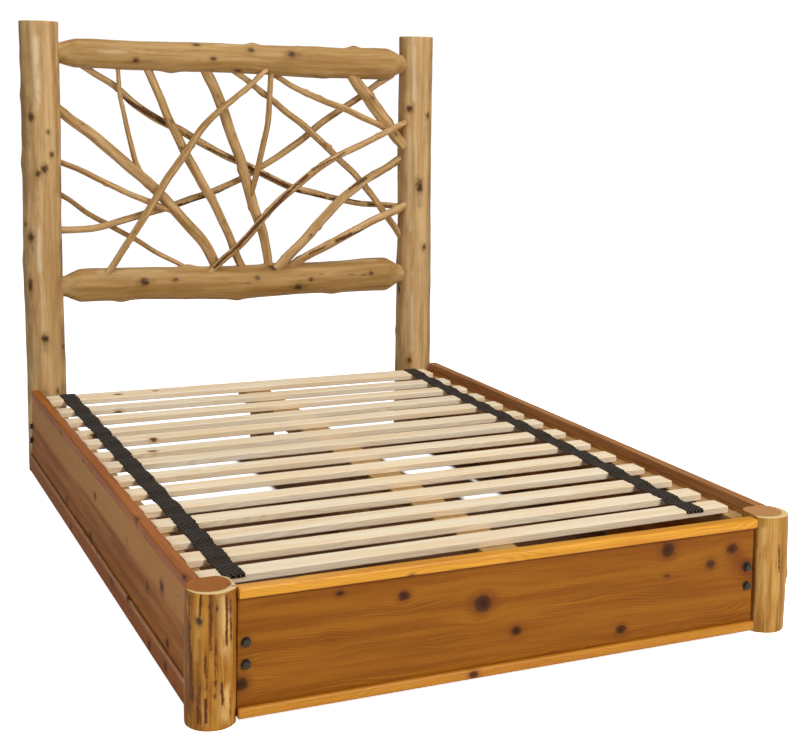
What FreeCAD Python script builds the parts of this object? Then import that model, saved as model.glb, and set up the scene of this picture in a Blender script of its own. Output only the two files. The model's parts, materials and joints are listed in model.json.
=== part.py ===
import FreeCAD, Part
import Sketcher
import math
import os
import re
from FreeCAD import Placement, Rotation, Vector

# Rustic log bed for a full-size mattress: two tall head posts joined by two log rails
# with a lattice of twigs, two short foot posts, boarded rails, and a roll of slats.
# Millimetres. +X to the bed's right seen from the foot, +Y towards the head, +Z up.
# The origin is on the floor under the middle of the bounding box.

doc = FreeCAD.newDocument("LogBed")
sizes = doc.addObject("Spreadsheet::Sheet", "Sizes")

driving_sizes = [
    ("foot_post_spacing", 1365, "between the axes of the two foot posts"),
    ("post_run", 1963, "from the foot posts' axes to the head posts' axes"),
    ("foot_post_height", 280, "foot posts, sawn flat on top"),
    ("foot_post_radius", 54, "foot posts at their widest"),
    ("foot_flat_offset", 44.5, "from a foot post's axis to its sawn flats"),
    ("left_head_post_height", 1460, ""),
    ("right_head_post_height", 1452, ""),
    ("left_head_post_radius", 62.5, ""),
    ("right_head_post_radius", 63.5, "the thicker of the two"),
    ("head_post_inset", 27, "head posts' feet stand this much nearer the middle"),
    ("left_head_post_lean", 28, "its top leans outwards"),
    ("right_head_post_lean", -11, "its top leans inwards"),
    ("head_notch_offset", 25, "from a head post's axis to the notch that takes the side board"),
    ("post_edge_bevel", 3, "eased edge of every post's top"),
    ("rail_floor_gap", 11, "under the boarded rails"),
    ("board_thickness", 19, "all rail boards"),
    ("rail_top", 279, "top of the caps above the floor"),
    ("side_board_inset", 11, "side board's inner face, outside the foot post's axis"),
    ("foot_board_inset", 13, "foot board's inner face, in front of the foot posts' axes"),
    ("side_cap_height", 26, "top trim of a side rail"),
    ("foot_cap_height", 22, "top trim of the foot rail"),
    ("side_trim_proud", 8, "side trims stand this far out from their board"),
    ("foot_trim_proud", 13, "foot trims stand this far out from their board"),
    ("side_trim_height", 50, "bottom trim of a side rail"),
    ("foot_trim_height", 22, "bottom trim of the foot rail"),
    ("side_trim_round", 3, "rounded edges of the side rails' trims"),
    ("foot_trim_round", 5, "rounded edges of the foot rail's trims"),
    ("board_round", 1.5, "eased edges of boards, ledges and blocks"),
    ("foot_rail_left_gap", 1, "from the left foot post's flat to the foot rail"),
    ("foot_rail_right_gap", 12, "from the right foot post's flat to the foot rail"),
    ("side_rail_gap", 0.5, "from a post's flat to the end of a side rail"),
    ("ledge_width", 44, "cleat that carries the slats"),
    ("ledge_height", 38, ""),
    ("ledge_top", 243, "above the floor"),
    ("slat_length", 1345, ""),
    ("slat_width", 57, ""),
    ("head_slat_width", 86, "the slat by the headboard is wider"),
    ("slat_thickness", 17.5, ""),
    ("slat_pitch", 129, ""),
    ("slat_first_run", 115, "from the foot posts' axes to the nearest slat"),
    ("slat_shift", 6, "the slats lie this much to the left"),
    ("slat_round", 2.5, ""),
    ("seat_gap", 0.3, "loose slats above their ledges"),
    ("strap_width", 48, "woven webbing"),
    ("strap_thickness", 2.5, ""),
    ("strap_sag", 10, "between two slats"),
    ("strap_drop", 5, "end hanging over the nearest slat"),
    ("left_strap_head_inset", 69, "strap's middle from the slats' left end, at the head"),
    ("left_strap_foot_inset", 69, "the same at the foot"),
    ("right_strap_head_inset", 58, "from the slats' right end"),
    ("right_strap_foot_inset", 102, "the right strap runs askew"),
    ("beam_width", 89, "centre beam under the slats"),
    ("beam_thickness", 38, ""),
    ("beam_shift", 12, "the beam lies this much to the right"),
    ("beam_foot_gap", 12, "from the foot board to the beam"),
    ("beam_head_run", 1880, "the beam ends this far from the foot posts' axes"),
    ("leg_width", 64, "square legs under the beam"),
    ("leg_end_gap", 90, "from a beam's end to the nearest leg"),
    ("block_length", 64, "corner blocks that take the bolts"),
    ("block_thickness", 38, ""),
    ("block_floor_gap", 24, ""),
    ("bolt_end_gap", 17, "bolt's axis from the end of its rail"),
    ("bolt_spacing", 46, "between the two bolts of a corner"),
    ("foot_bolt_low", 119, "lower bolt of the foot rail above the floor"),
    ("side_bolt_low", 111, "lower bolt of a side rail above the floor"),
    ("bolt_radius", 5, ""),
    ("bolt_length", 50, "shank under the head"),
    ("bolt_flange_radius", 10.5, ""),
    ("bolt_flange", 2, ""),
    ("bolt_head_radius", 9.2, "to the corners of the hexagon"),
    ("bolt_head", 7, ""),
    ("bolt_clearance", 0.5, "bolt holes, on the radius"),
    ("joint_clearance", 0.3, "tenons and twigs in their holes, on the radius"),
    ("upper_rail_height", 1358, "axis of the upper headboard rail above the floor"),
    ("upper_rail_radius", 50, ""),
    ("lower_rail_height", 600, ""),
    ("lower_rail_radius", 56, ""),
    ("tenon_radius", 34, "round ends of the headboard rails"),
    ("tenon_depth", 45, "into the posts"),
    ("tenon_neck", 3, "bare tenon between the shoulder and the post"),
    ("tenon_taper", 56, "length of the sharpened shoulder"),
    ("twig_layer", 38, "distance between the layers of the lattice"),
]
twig_radii = [12.5, 9, 18.5, 15.5, 17.5, 13, 12, 10, 8.5, 12, 10, 11, 21, 12, 16, 14]
for number, radius in enumerate(twig_radii, start=1):
    driving_sizes.append((f"twig_{number:02d}_radius", radius, "at its thickest"))

for row, (alias, number, note) in enumerate(driving_sizes, start=1):
    sizes.set(f"A{row}", note)
    sizes.set(f"B{row}", str(number))
    sizes.setAlias(f"B{row}", alias)
doc.recompute()
aliases = {alias for alias, number, note in driving_sizes}


def in_sheet(formula):
    """Name the sheet in front of each alias of a formula."""
    def full(match):
        word = match.group()
        return f"Sizes.{word}" if word in aliases else word
    return re.sub(r"[a-z][a-z_0-9]*", full, formula)


def value(formula):
    """The number that a formula of sheet values gives."""
    result = sizes.evalExpression(in_sheet(formula))
    return float(getattr(result, "Value", result))


def bind(item, **formulas):
    """Bind an object's properties to formulas of the sheet."""
    for name, formula in formulas.items():
        item.setExpression(name.replace("__", "."), in_sheet(formula))


def place(item, x, y, z):
    bind(item, Placement__Base__x=x, Placement__Base__y=y, Placement__Base__z=z)


# Places that several pieces share, as formulas of the sheet.
middle = "((left_head_post_lean - head_post_inset + left_head_post_radius - foot_post_radius) / 2)"
left_axis = f"({middle} - foot_post_spacing / 2)"
right_axis = f"({middle} + foot_post_spacing / 2)"
foot_axis = "(-(post_run + right_head_post_radius - foot_post_radius) / 2)"
head_axis = f"({foot_axis} + post_run)"
foot_flat = f"({foot_axis} + foot_flat_offset)"
head_notch = f"({head_axis} - head_notch_offset)"
head_front = f"({head_axis} - right_head_post_radius)"
board_base = "rail_floor_gap"
side_board_height = "(rail_top - side_cap_height - rail_floor_gap)"
foot_board_height = "(rail_top - foot_cap_height - rail_floor_gap)"
side_inner = "(foot_post_spacing / 2 + side_board_inset)"
foot_board_back = f"({foot_axis} - foot_board_inset)"
foot_board_front = f"({foot_board_back} - board_thickness)"
foot_rail_start = f"({left_axis} + foot_flat_offset + foot_rail_left_gap)"
foot_rail_end = f"({right_axis} - foot_flat_offset - foot_rail_right_gap)"
foot_rail_length = f"({foot_rail_end} - {foot_rail_start})"
side_rail_start = f"({foot_flat} + side_rail_gap)"
side_board_length = f"({head_notch} - side_rail_gap - {side_rail_start})"
side_cap_length = f"({head_front} - side_rail_gap - {side_rail_start})"
slat_base = "(ledge_top + seat_gap)"
slat_top = f"({slat_base} + slat_thickness)"
slat_start = f"({middle} - slat_length / 2 - slat_shift)"


def rounded_box(label, size, corner, along, radius):
    """A sawn piece: a padded rectangle with its four long edges rounded."""
    body = doc.addObject("PartDesign::Body", label)
    body.Label = label
    ground = next(item for item in body.Origin.OriginFeatures if item.Role == "XY_Plane")
    sketch = body.newObject("Sketcher::SketchObject", f"{label}_outline")
    sketch.AttachmentSupport = (ground, [""])
    sketch.MapMode = "FlatFace"
    width, depth = value(size[0]), value(size[1])
    corners = [Vector(0, 0, 0), Vector(width, 0, 0), Vector(width, depth, 0), Vector(0, depth, 0)]
    sides = [sketch.addGeometry(Part.LineSegment(start, end), False)
             for start, end in zip(corners, corners[1:] + corners[:1])]
    rules = [("Coincident", sides[k], 2, sides[(k + 1) % 4], 1) for k in range(4)]
    rules += [("Horizontal", sides[0]), ("Vertical", sides[1])]
    rules += [("Horizontal", sides[2]), ("Vertical", sides[3])]
    rules += [("Coincident", sides[0], 1, -1, 1)]
    for kind, *places in rules:
        sketch.addConstraint(Sketcher.Constraint(kind, *places))
    for side, name, formula in ((sides[0], "DistanceX", size[0]), (sides[1], "DistanceY", size[1])):
        rule = sketch.addConstraint(Sketcher.Constraint(name, side, 1, side, 2, value(formula)))
        sketch.setExpression(f"Constraints[{rule}]", in_sheet(formula))
    pad = body.newObject("PartDesign::Pad", f"{label}_pad")
    pad.Profile = sketch
    bind(pad, Length=size[2])
    doc.recompute()
    direction = {"x": Vector(1, 0, 0), "y": Vector(0, 1, 0), "z": Vector(0, 0, 1)}[along]
    names = [f"Edge{k}" for k, edge in enumerate(pad.Shape.Edges, start=1)
             if edge.tangentAt(edge.FirstParameter).cross(direction).Length < 0.5]
    fillet = body.newObject("PartDesign::Fillet", f"{label}_round")
    fillet.Base = (pad, names)
    bind(fillet, Radius=radius)
    body.Tip = fillet
    place(body, *corner)
    return body


# Every piece that gets its own file, by label.
pieces = {}


def keep(item, label=None):
    if label:
        item.Label = label
    pieces[item.Label] = item
    return item


# How a round bar stands: its own length along the named axis of the bed.
turns = {
    "+y": Rotation(Vector(1, 0, 0), -90),
    "-y": Rotation(Vector(1, 0, 0), 90),
    "+x": Rotation(Vector(0, 1, 0), 90),
    "-x": Rotation(Vector(0, 1, 0), -90),
}


def bar(name, kind, radius, length, towards, corner):
    """A cylinder or hexagonal prism that starts at a corner and runs along an axis."""
    item = doc.addObject(kind, name)
    if kind == "Part::Prism":
        item.Polygon = 6
        bind(item, Circumradius=radius, Height=length)
    else:
        bind(item, Radius=radius, Height=length)
    item.Placement = Placement(Vector(0, 0, 0), turns[towards])
    place(item, *corner)
    return item


def moved(corner, towards, distance):
    """A corner shifted by a distance along an axis."""
    sign, axis = towards
    shifted = dict(zip("xyz", corner))
    shifted[axis] = f"({shifted[axis]} {sign} {distance})"
    return list(shifted.values())


def joined(name, kind, parts):
    item = doc.addObject(kind, name)
    if kind == "Part::Compound":
        item.Links = parts
    else:
        item.Shapes = parts
    return item


def drilled(label, body, corners, towards):
    """A sawn piece with bolt holes that start at the given corners."""
    body.Label = f"{label}_blank"
    holes = []
    for number, corner in enumerate(corners, start=1):
        start = moved(corner, {"+": "-", "-": "+"}[towards[0]] + towards[1], "bolt_length")
        holes.append(bar(f"{label}_hole_{number}", "Part::Cylinder", "(bolt_radius + bolt_clearance)",
                         "(2 * bolt_length + bolt_clearance)", towards, start))
    cut = doc.addObject("Part::Cut", label)
    cut.Base = body
    cut.Tool = joined(f"{label}_holes", "Part::MultiFuse", holes)
    return keep(cut, label)


def bolt(name, corner, towards):
    """A flanged hexagon bolt whose flange sits on the corner's face."""
    back = {"+": "-", "-": "+"}[towards[0]] + towards[1]
    shank = bar(f"{name}_shank", "Part::Cylinder", "bolt_radius", "bolt_length", towards, corner)
    flange = bar(f"{name}_flange", "Part::Cylinder", "bolt_flange_radius", "bolt_flange", back, corner)
    head = bar(f"{name}_head", "Part::Prism", "bolt_head_radius", "bolt_head", back,
               moved(corner, back, "bolt_flange"))
    return joined(name, "Part::MultiFuse", [shank, flange, head])


# Foot rail: a knotty board with a cap on its top edge and a strip along its bottom.
bolt_heights = {
    "foot": ["foot_bolt_low", "(foot_bolt_low + bolt_spacing)"],
    "side": ["side_bolt_low", "(side_bolt_low + bolt_spacing)"],
}
foot_bolt_corners = [
    (x, foot_board_front, z)
    for x in (f"({foot_rail_start} + bolt_end_gap)", f"({foot_rail_end} - bolt_end_gap)")
    for z in bolt_heights["foot"]
]
foot_board = rounded_box(
    "foot_board", (foot_rail_length, "board_thickness", foot_board_height),
    (foot_rail_start, foot_board_front, board_base), "x", "board_round")
drilled("foot_rail_board", foot_board, foot_bolt_corners, "+y")
keep(rounded_box(
    "foot_rail_cap", (foot_rail_length, "(board_thickness + foot_trim_proud)", "foot_cap_height"),
    (foot_rail_start, f"({foot_board_front} - foot_trim_proud)", "(rail_top - foot_cap_height)"),
    "x", "foot_trim_round"))
keep(rounded_box(
    "foot_rail_bottom_trim", (foot_rail_length, "foot_trim_proud", "foot_trim_height"),
    (foot_rail_start, f"({foot_board_front} - foot_trim_proud)", board_base),
    "x", "foot_trim_round"))
foot_bolts = [bolt(f"foot_bolt_{k}", corner, "+y")
              for k, corner in enumerate(foot_bolt_corners, start=1)]
keep(joined("foot_rail_bolts", "Part::Compound", foot_bolts), "foot_rail_bolts")

# Side rails: board, cap, bottom strip, and the ledge inside that carries the slats.
side_bolts = []
head_bolts = {}
for side, sign, inward in (("left", "-", "+x"), ("right", "+", "-x")):
    outer = f"({middle} {sign} ({side_inner} + board_thickness))"
    proud = f"({middle} {sign} ({side_inner} + board_thickness + side_trim_proud))"
    inner = f"({middle} {sign} {side_inner})"
    inner_ledge = f"({middle} {sign} ({side_inner} - ledge_width))"
    board_x, cap_x, trim_x, ledge_x = (
        (outer, proud, proud, inner) if side == "left" else (inner, inner, outer, inner_ledge))
    side_bolt_corners = [
        (outer, y, z)
        for y in (f"({side_rail_start} + bolt_end_gap)",
                  f"({side_rail_start} + {side_board_length} - bolt_end_gap)")
        for z in bolt_heights["side"]
    ]
    board = rounded_box(
        f"{side}_board", ("board_thickness", side_board_length, side_board_height),
        (board_x, side_rail_start, board_base), "y", "board_round")
    drilled(f"side_rail_{side}_board", board, side_bolt_corners, inward)
    cap_width = "(board_thickness + side_trim_proud)"
    keep(rounded_box(
        f"side_rail_{side}_cap", (cap_width, side_cap_length, "side_cap_height"),
        (cap_x, side_rail_start, "(rail_top - side_cap_height)"), "y", "side_trim_round"))
    keep(rounded_box(
        f"side_rail_{side}_bottom_trim", ("side_trim_proud", side_board_length, "side_trim_height"),
        (trim_x, side_rail_start, board_base), "y", "side_trim_round"))
    keep(rounded_box(
        f"side_rail_{side}_ledge", ("ledge_width", side_cap_length, "ledge_height"),
        (ledge_x, side_rail_start, "(ledge_top - ledge_height)"), "y", "board_round"))

    # Corner blocks: one behind the foot board, one behind the foot end of the side board.
    block_height = "(ledge_top - ledge_height - block_floor_gap)"
    block_x = {"left": f"({left_axis} + foot_flat_offset)",
               "right": f"({right_axis} - foot_flat_offset - block_length)"}[side]
    foot_block = rounded_box(
        f"foot_block_{side}", ("block_length", "block_thickness", block_height),
        (block_x, foot_board_back, "block_floor_gap"), "z", "board_round")
    here = foot_bolt_corners[:2] if side == "left" else foot_bolt_corners[2:]
    drilled(f"foot_corner_block_{side}", foot_block, here, "+y")
    inner_block = inner if side == "left" else f"({inner} - block_thickness)"
    side_block = rounded_box(
        f"side_block_{side}", ("block_thickness", "block_length", block_height),
        (inner_block, foot_flat, "block_floor_gap"), "z", "board_round")
    drilled(f"side_corner_block_{side}", side_block, side_bolt_corners[:2], inward)
    head_bolts[side] = [(Vector(*map(value, corner)), turns[inward])
                        for corner in side_bolt_corners[2:]]
    side_bolts += [bolt(f"side_bolt_{side}_{k}", corner, inward)
                   for k, corner in enumerate(side_bolt_corners, start=1)]
keep(joined("side_rail_bolts", "Part::Compound", side_bolts), "side_rail_bolts")

# Centre beam on three legs, under the middle of the slats.
beam_start = f"({foot_board_back} + beam_foot_gap)"
beam_length = f"({foot_axis} + beam_head_run - {beam_start})"
keep(rounded_box(
    "centre_beam", ("beam_width", beam_length, "beam_thickness"),
    (f"({middle} + beam_shift - beam_width / 2)", beam_start, "(ledge_top - beam_thickness)"),
    "y", "board_round"))
leg_shares = [0, 0.5, 1]
legs = []
for number, share in enumerate(leg_shares, start=1):
    leg_y = f"({beam_start} + leg_end_gap + ({beam_length} - 2 * leg_end_gap - leg_width) * {share})"
    legs.append(rounded_box(
        f"beam_leg_{number}", ("leg_width", "leg_width", "(ledge_top - beam_thickness)"),
        (f"({middle} + beam_shift - leg_width / 2)", leg_y, "0"), "z", "board_round"))
keep(joined("beam_legs", "Part::Compound", legs), "beam_legs")

# Loose slats, counted from the head. None lies quite square: each row tells how far the
# slat's left and right end have slipped towards the foot, as shares of the pitch.
slip_shares = [
    (-0.03, -0.12), (0.16, -0.03), (0.24, -0.03), (0.48, -0.02), (0.33, -0.05), (0.46, 0.03), (0.30, -0.04),
    (0.35, -0.01), (0.35, 0.06), (0.48, 0.10), (0.40, 0.17), (0.40, 0.15), (0.33, 0.12), (0.26, -0.02),
]
slat_count = len(slip_shares)


def slat_front(number, left_slip):
    """Where the foot side of a slat's left end is, as a formula."""
    steps = slat_count - number - left_slip
    return f"({foot_axis} + slat_first_run + ({steps}) * slat_pitch)"


def slat_width_name(number):
    return "head_slat_width" if number == 1 else "slat_width"


for number, (left_slip, right_slip) in enumerate(slip_shares, start=1):
    slat = rounded_box(
        f"slat_{number:02d}", ("slat_length", slat_width_name(number), "slat_thickness"),
        (slat_start, slat_front(number, left_slip), slat_base), "x", "slat_round")
    skew = math.asin((left_slip - right_slip) * value("slat_pitch / slat_length"))
    slat.Placement = Placement(slat.Placement.Base, Rotation(Vector(0, 0, 1), math.degrees(skew)))
    keep(slat)


def strap(side, head_x, foot_x):
    """Webbing that lies on every slat, sags between them and hangs over the last one."""
    top, thickness, sag = value(slat_top), value("strap_thickness"), value("strap_sag")
    pitch, web = value("slat_pitch"), value("strap_width")
    foot_middle, head_middle = value(foot_x), value(head_x)
    fronts = []
    for number, (left_slip, right_slip) in enumerate(slip_shares, start=1):
        up = (slat_count - number) / (slat_count - 1)
        x = foot_middle + (head_middle - foot_middle) * up
        across = (x - value(slat_start)) / value("slat_length")
        fronts.append(value(slat_front(number, left_slip)) + (left_slip - right_slip) * pitch * across)
    widths = [value(slat_width_name(number)) for number in range(slat_count, 0, -1)]
    fronts.reverse()
    backs = [front + width for front, width in zip(fronts, widths)]
    slant = (left_slip - right_slip) * pitch / value("slat_length")

    def hung(start_y, end_y, level, centre_z, radius):
        """An arc from one slat down and up to the next."""
        middle_y = (start_y + end_y) / 2
        half = math.sqrt(radius ** 2 - (centre_z - level) ** 2)
        start, end = Vector(0, middle_y - half, level), Vector(0, middle_y + half, level)
        return Part.Arc(start, Vector(0, middle_y, centre_z - radius), end).toShape(), start, end

    drop = value("strap_drop")
    first, last = fronts[0] - slant * web / 2, backs[-1]
    lower, upper = Vector(0, first, top), Vector(0, first - thickness, top + thickness)
    lower_foot, upper_foot = Vector(0, first, top - drop), Vector(0, first - thickness, top - drop)
    edges = [Part.makeLine(upper_foot, lower_foot), Part.makeLine(lower_foot, lower),
             Part.makeLine(upper_foot, upper)]
    for back, front in zip(backs, fronts[1:]):
        gap = front - back
        bend = (gap * gap / 4 + sag * sag) / (2 * sag)
        centre_z = top - sag + bend
        arc, start, end = hung(back, front, top, centre_z, bend)
        edges += [Part.makeLine(lower, start), arc]
        lower = end
        arc, start, end = hung(back, front, top + thickness, centre_z, bend - thickness)
        edges += [Part.makeLine(upper, start), arc]
        upper = end
    lower_end, upper_end = Vector(0, last, top), Vector(0, last, top + thickness)
    edges += [Part.makeLine(lower, lower_end), Part.makeLine(upper, upper_end),
              Part.makeLine(lower_end, upper_end)]
    band = Part.Face(Part.Wire(Part.__sortEdges__(edges)))
    band.translate(Vector(min(foot_middle, head_middle) - web, 0, 0))
    band = band.extrude(Vector(abs(foot_middle - head_middle) + 2 * web, 0, 0))
    plan = [Vector(x + half, y, 0)
            for x, y, half in ((foot_middle, first - thickness, -web / 2),
                               (foot_middle, first - thickness, web / 2),
                               (head_middle, last, web / 2), (head_middle, last, -web / 2))]
    prism = Part.Face(Part.makePolygon(plan + plan[:1])).extrude(Vector(0, 0, 2 * top))
    item = doc.addObject("Part::Feature", f"strap_{side}")
    item.Shape = band.common(prism)
    return keep(item)


slat_end = f"({slat_start} + slat_length)"
strap("left", f"{slat_start} + left_strap_head_inset", f"{slat_start} + left_strap_foot_inset")
strap("right", f"{slat_end} - right_strap_head_inset", f"{slat_end} - right_strap_foot_inset")


def round_section(centre, direction, radius, seam):
    """A circle square to a log's grain, always started on the same side."""
    across = (seam - direction * seam.dot(direction)).normalize()
    circle = Part.makeCircle(radius)
    circle.Placement = Placement(centre, Rotation(across, direction.cross(across), direction, "ZXY"))
    return Part.Wire([circle])


def eased(stations, steps=3):
    """Stations with more between them, on a curve that doesn't swing out past them."""
    runs = [(after[0] - before[0]).Length for before, after in zip(stations, stations[1:])]
    values = [(*centre, radius) for centre, radius in stations]
    last = len(stations) - 1
    slopes = []
    for k in range(last + 1):
        low, high = max(k - 1, 0), min(k + 1, last)
        run = sum(runs[low:high])
        slopes.append([(b - a) / run for a, b in zip(values[low], values[high])])
    result = []
    for k, run in enumerate(runs):
        for step in range(steps):
            t = step / steps
            parts = zip(values[k], values[k + 1], slopes[k], slopes[k + 1])
            x, y, z, radius = [
                a + (b - a) * t * t * (3 - 2 * t) + run * t * (1 - t) * (rise_a * (1 - t) - rise_b * t)
                for a, b, rise_a, rise_b in parts]
            result.append((Vector(x, y, z), radius))
    return result + [stations[last]]


def grown(stations, direction=None, seam=Vector(0, -1, 0)):
    """A log or twig through stations of a centre and a radius, square to its own run."""
    sections = []
    for k, (centre, radius) in enumerate(stations):
        before = stations[max(k - 1, 0)][0]
        after = stations[min(k + 1, len(stations) - 1)][0]
        sections.append(round_section(centre, direction or (after - before).normalize(), radius, seam))
    return Part.makeLoft(sections, True, False)


def half_space(corner, size):
    return Part.makeBox(*size, corner)


# Posts: heights, thickness and sway along their length, as shares.
left_x = value(left_axis)
right_x = value(right_axis)
foot_y = value(foot_axis)
head_y = value(head_axis)
bevel = value("post_edge_bevel")


def post(axis_x, axis_y, height, radius, lean, shares):
    stations = [(Vector(axis_x + lean * up + sway * radius, axis_y, height * up), radius * thick)
                for up, thick, sway in shares]
    log = grown(stations, Vector(0, 0, 1))
    rim = [edge for edge in log.Edges if edge.CenterOfMass.z > height - bevel]
    return log.makeFillet(bevel, rim)


foot_shares = {
    "left": [(0, 0.975, 0.01), (0.3, 1.0, 0), (0.62, 0.985, -0.015), (1, 0.98, 0)],
    "right": [(0, 0.97, 0), (0.25, 0.98, 0), (0.55, 1.0, 0), (1, 0.985, 0.005)],
}
head_shares = {
    "left": [(0, 0.975, 0), (0.22, 0.985, 0.01), (0.5, 0.97, -0.03), (0.78, 0.985, 0.03), (1, 1.0, 0)],
    "right": [(0, 1.0, 0), (0.22, 1.0, 0.02), (0.5, 0.965, 0.03), (0.78, 0.95, -0.02), (1, 0.94, 0)],
}
foot_height = value("foot_post_height")
foot_radius = value("foot_post_radius")
flat = value("foot_flat_offset")
posts = {}
for side, axis_x, inward in (("left", left_x, 1), ("right", right_x, -1)):
    log = post(axis_x, foot_y, foot_height, foot_radius, 0, foot_shares[side])
    reach = Vector(2 * foot_radius, 2 * foot_radius, foot_height)
    inner_corner = Vector(axis_x + (flat if inward > 0 else -flat - reach.x), foot_y - foot_radius, 0)
    back_corner = Vector(axis_x - foot_radius, foot_y + flat, 0)
    for corner in (inner_corner, back_corner):
        log = log.cut(half_space(corner, reach))
    posts[f"foot_post_{side}"] = log

head_inset = value("head_post_inset")
head_axes = {"left": left_x + head_inset, "right": right_x - head_inset}
head_radii, head_leans, head_heights = {}, {}, {}
for side, outward in (("left", -1), ("right", 1)):
    head_radii[side] = value(f"{side}_head_post_radius")
    head_leans[side] = outward * value(f"{side}_head_post_lean")
    head_heights[side] = value(f"{side}_head_post_height")
    log = post(head_axes[side], head_y, head_heights[side], head_radii[side], head_leans[side],
               head_shares[side])
    reach = 2 * head_radii[side]
    notch_x = value(middle) + outward * value(side_inner) - (reach if outward < 0 else 0)
    notch = half_space(Vector(notch_x, value(head_notch) - reach, 0),
                       Vector(reach, reach, value("rail_top - side_cap_height")))
    bolt_holes = []
    for corner, turn in head_bolts[side]:
        hole = Part.makeCylinder(value("bolt_radius + bolt_clearance"),
                                 value("bolt_length + bolt_clearance"))
        hole.Placement = Placement(corner, turn)
        bolt_holes.append(hole)
    posts[f"head_post_{side}"] = log.cut([notch] + bolt_holes)


# Headboard rails: logs sharpened like pencils down to round tenons.
def post_x(side, height):
    """Where a head post's axis is at a height."""
    return head_axes[side] + head_leans[side] * height / head_heights[side]


taper_shares = [(0, 0), (0.35, 0.55), (0.75, 0.92), (1, 1)]
rail_shares = {
    "upper": [(0.04, 0.93, 0.09), (0.2, 0.94, 0), (0.35, 0.99, 0.02), (0.5, 0.97, 0),
              (0.63, 1.03, -0.06), (0.76, 1.11, -0.1), (0.87, 1.07, -0.12), (0.96, 1.11, -0.1)],
    "lower": [(0.05, 0.96, 0.08), (0.2, 0.95, 0.05), (0.35, 1.0, -0.04), (0.5, 1.03, -0.12),
              (0.7, 0.99, -0.06), (0.85, 1.03, -0.02), (0.95, 1.06, 0.04)],
}
tenon = value("tenon_radius")
tenon_depth = value("tenon_depth")
neck = value("tenon_neck")
taper = value("tenon_taper")
clearance = value("joint_clearance")


def headboard_rail(name, growth):
    """The rail's log and its two round tenons, thicker all round by the growth."""
    height, radius = value(f"{name}_rail_height"), value(f"{name}_rail_radius")
    shares = rail_shares[name]
    start = post_x("left", height) + head_radii["left"] + neck
    end = post_x("right", height) - head_radii["right"] - neck
    first_rise, last_rise = shares[0][2] * radius, shares[-1][2] * radius
    first_thick, last_thick = shares[0][1] * radius, shares[-1][1] * radius
    stations = [(Vector(start + taper * along, head_y, height + first_rise),
                 tenon + (first_thick - tenon) * full) for along, full in taper_shares]
    inner_start, inner_run = start + taper, end - start - 2 * taper
    stations += [(Vector(inner_start + inner_run * along, head_y, height + rise * radius), radius * thick)
                 for along, thick, rise in shares]
    stations += [(Vector(end - taper * along, head_y, height + last_rise),
                  tenon + (last_thick - tenon) * full) for along, full in reversed(taper_shares)]
    log = grown(stations, None, Vector(0, 0, 1 if name == "upper" else -1))
    length = neck + tenon_depth + growth
    ends = [Part.makeCylinder(tenon + growth, length, Vector(x, head_y, height + rise), Vector(way, 0, 0))
            for x, rise, way in ((start, first_rise, -1), (end, last_rise, 1))]
    return log, ends


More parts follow.
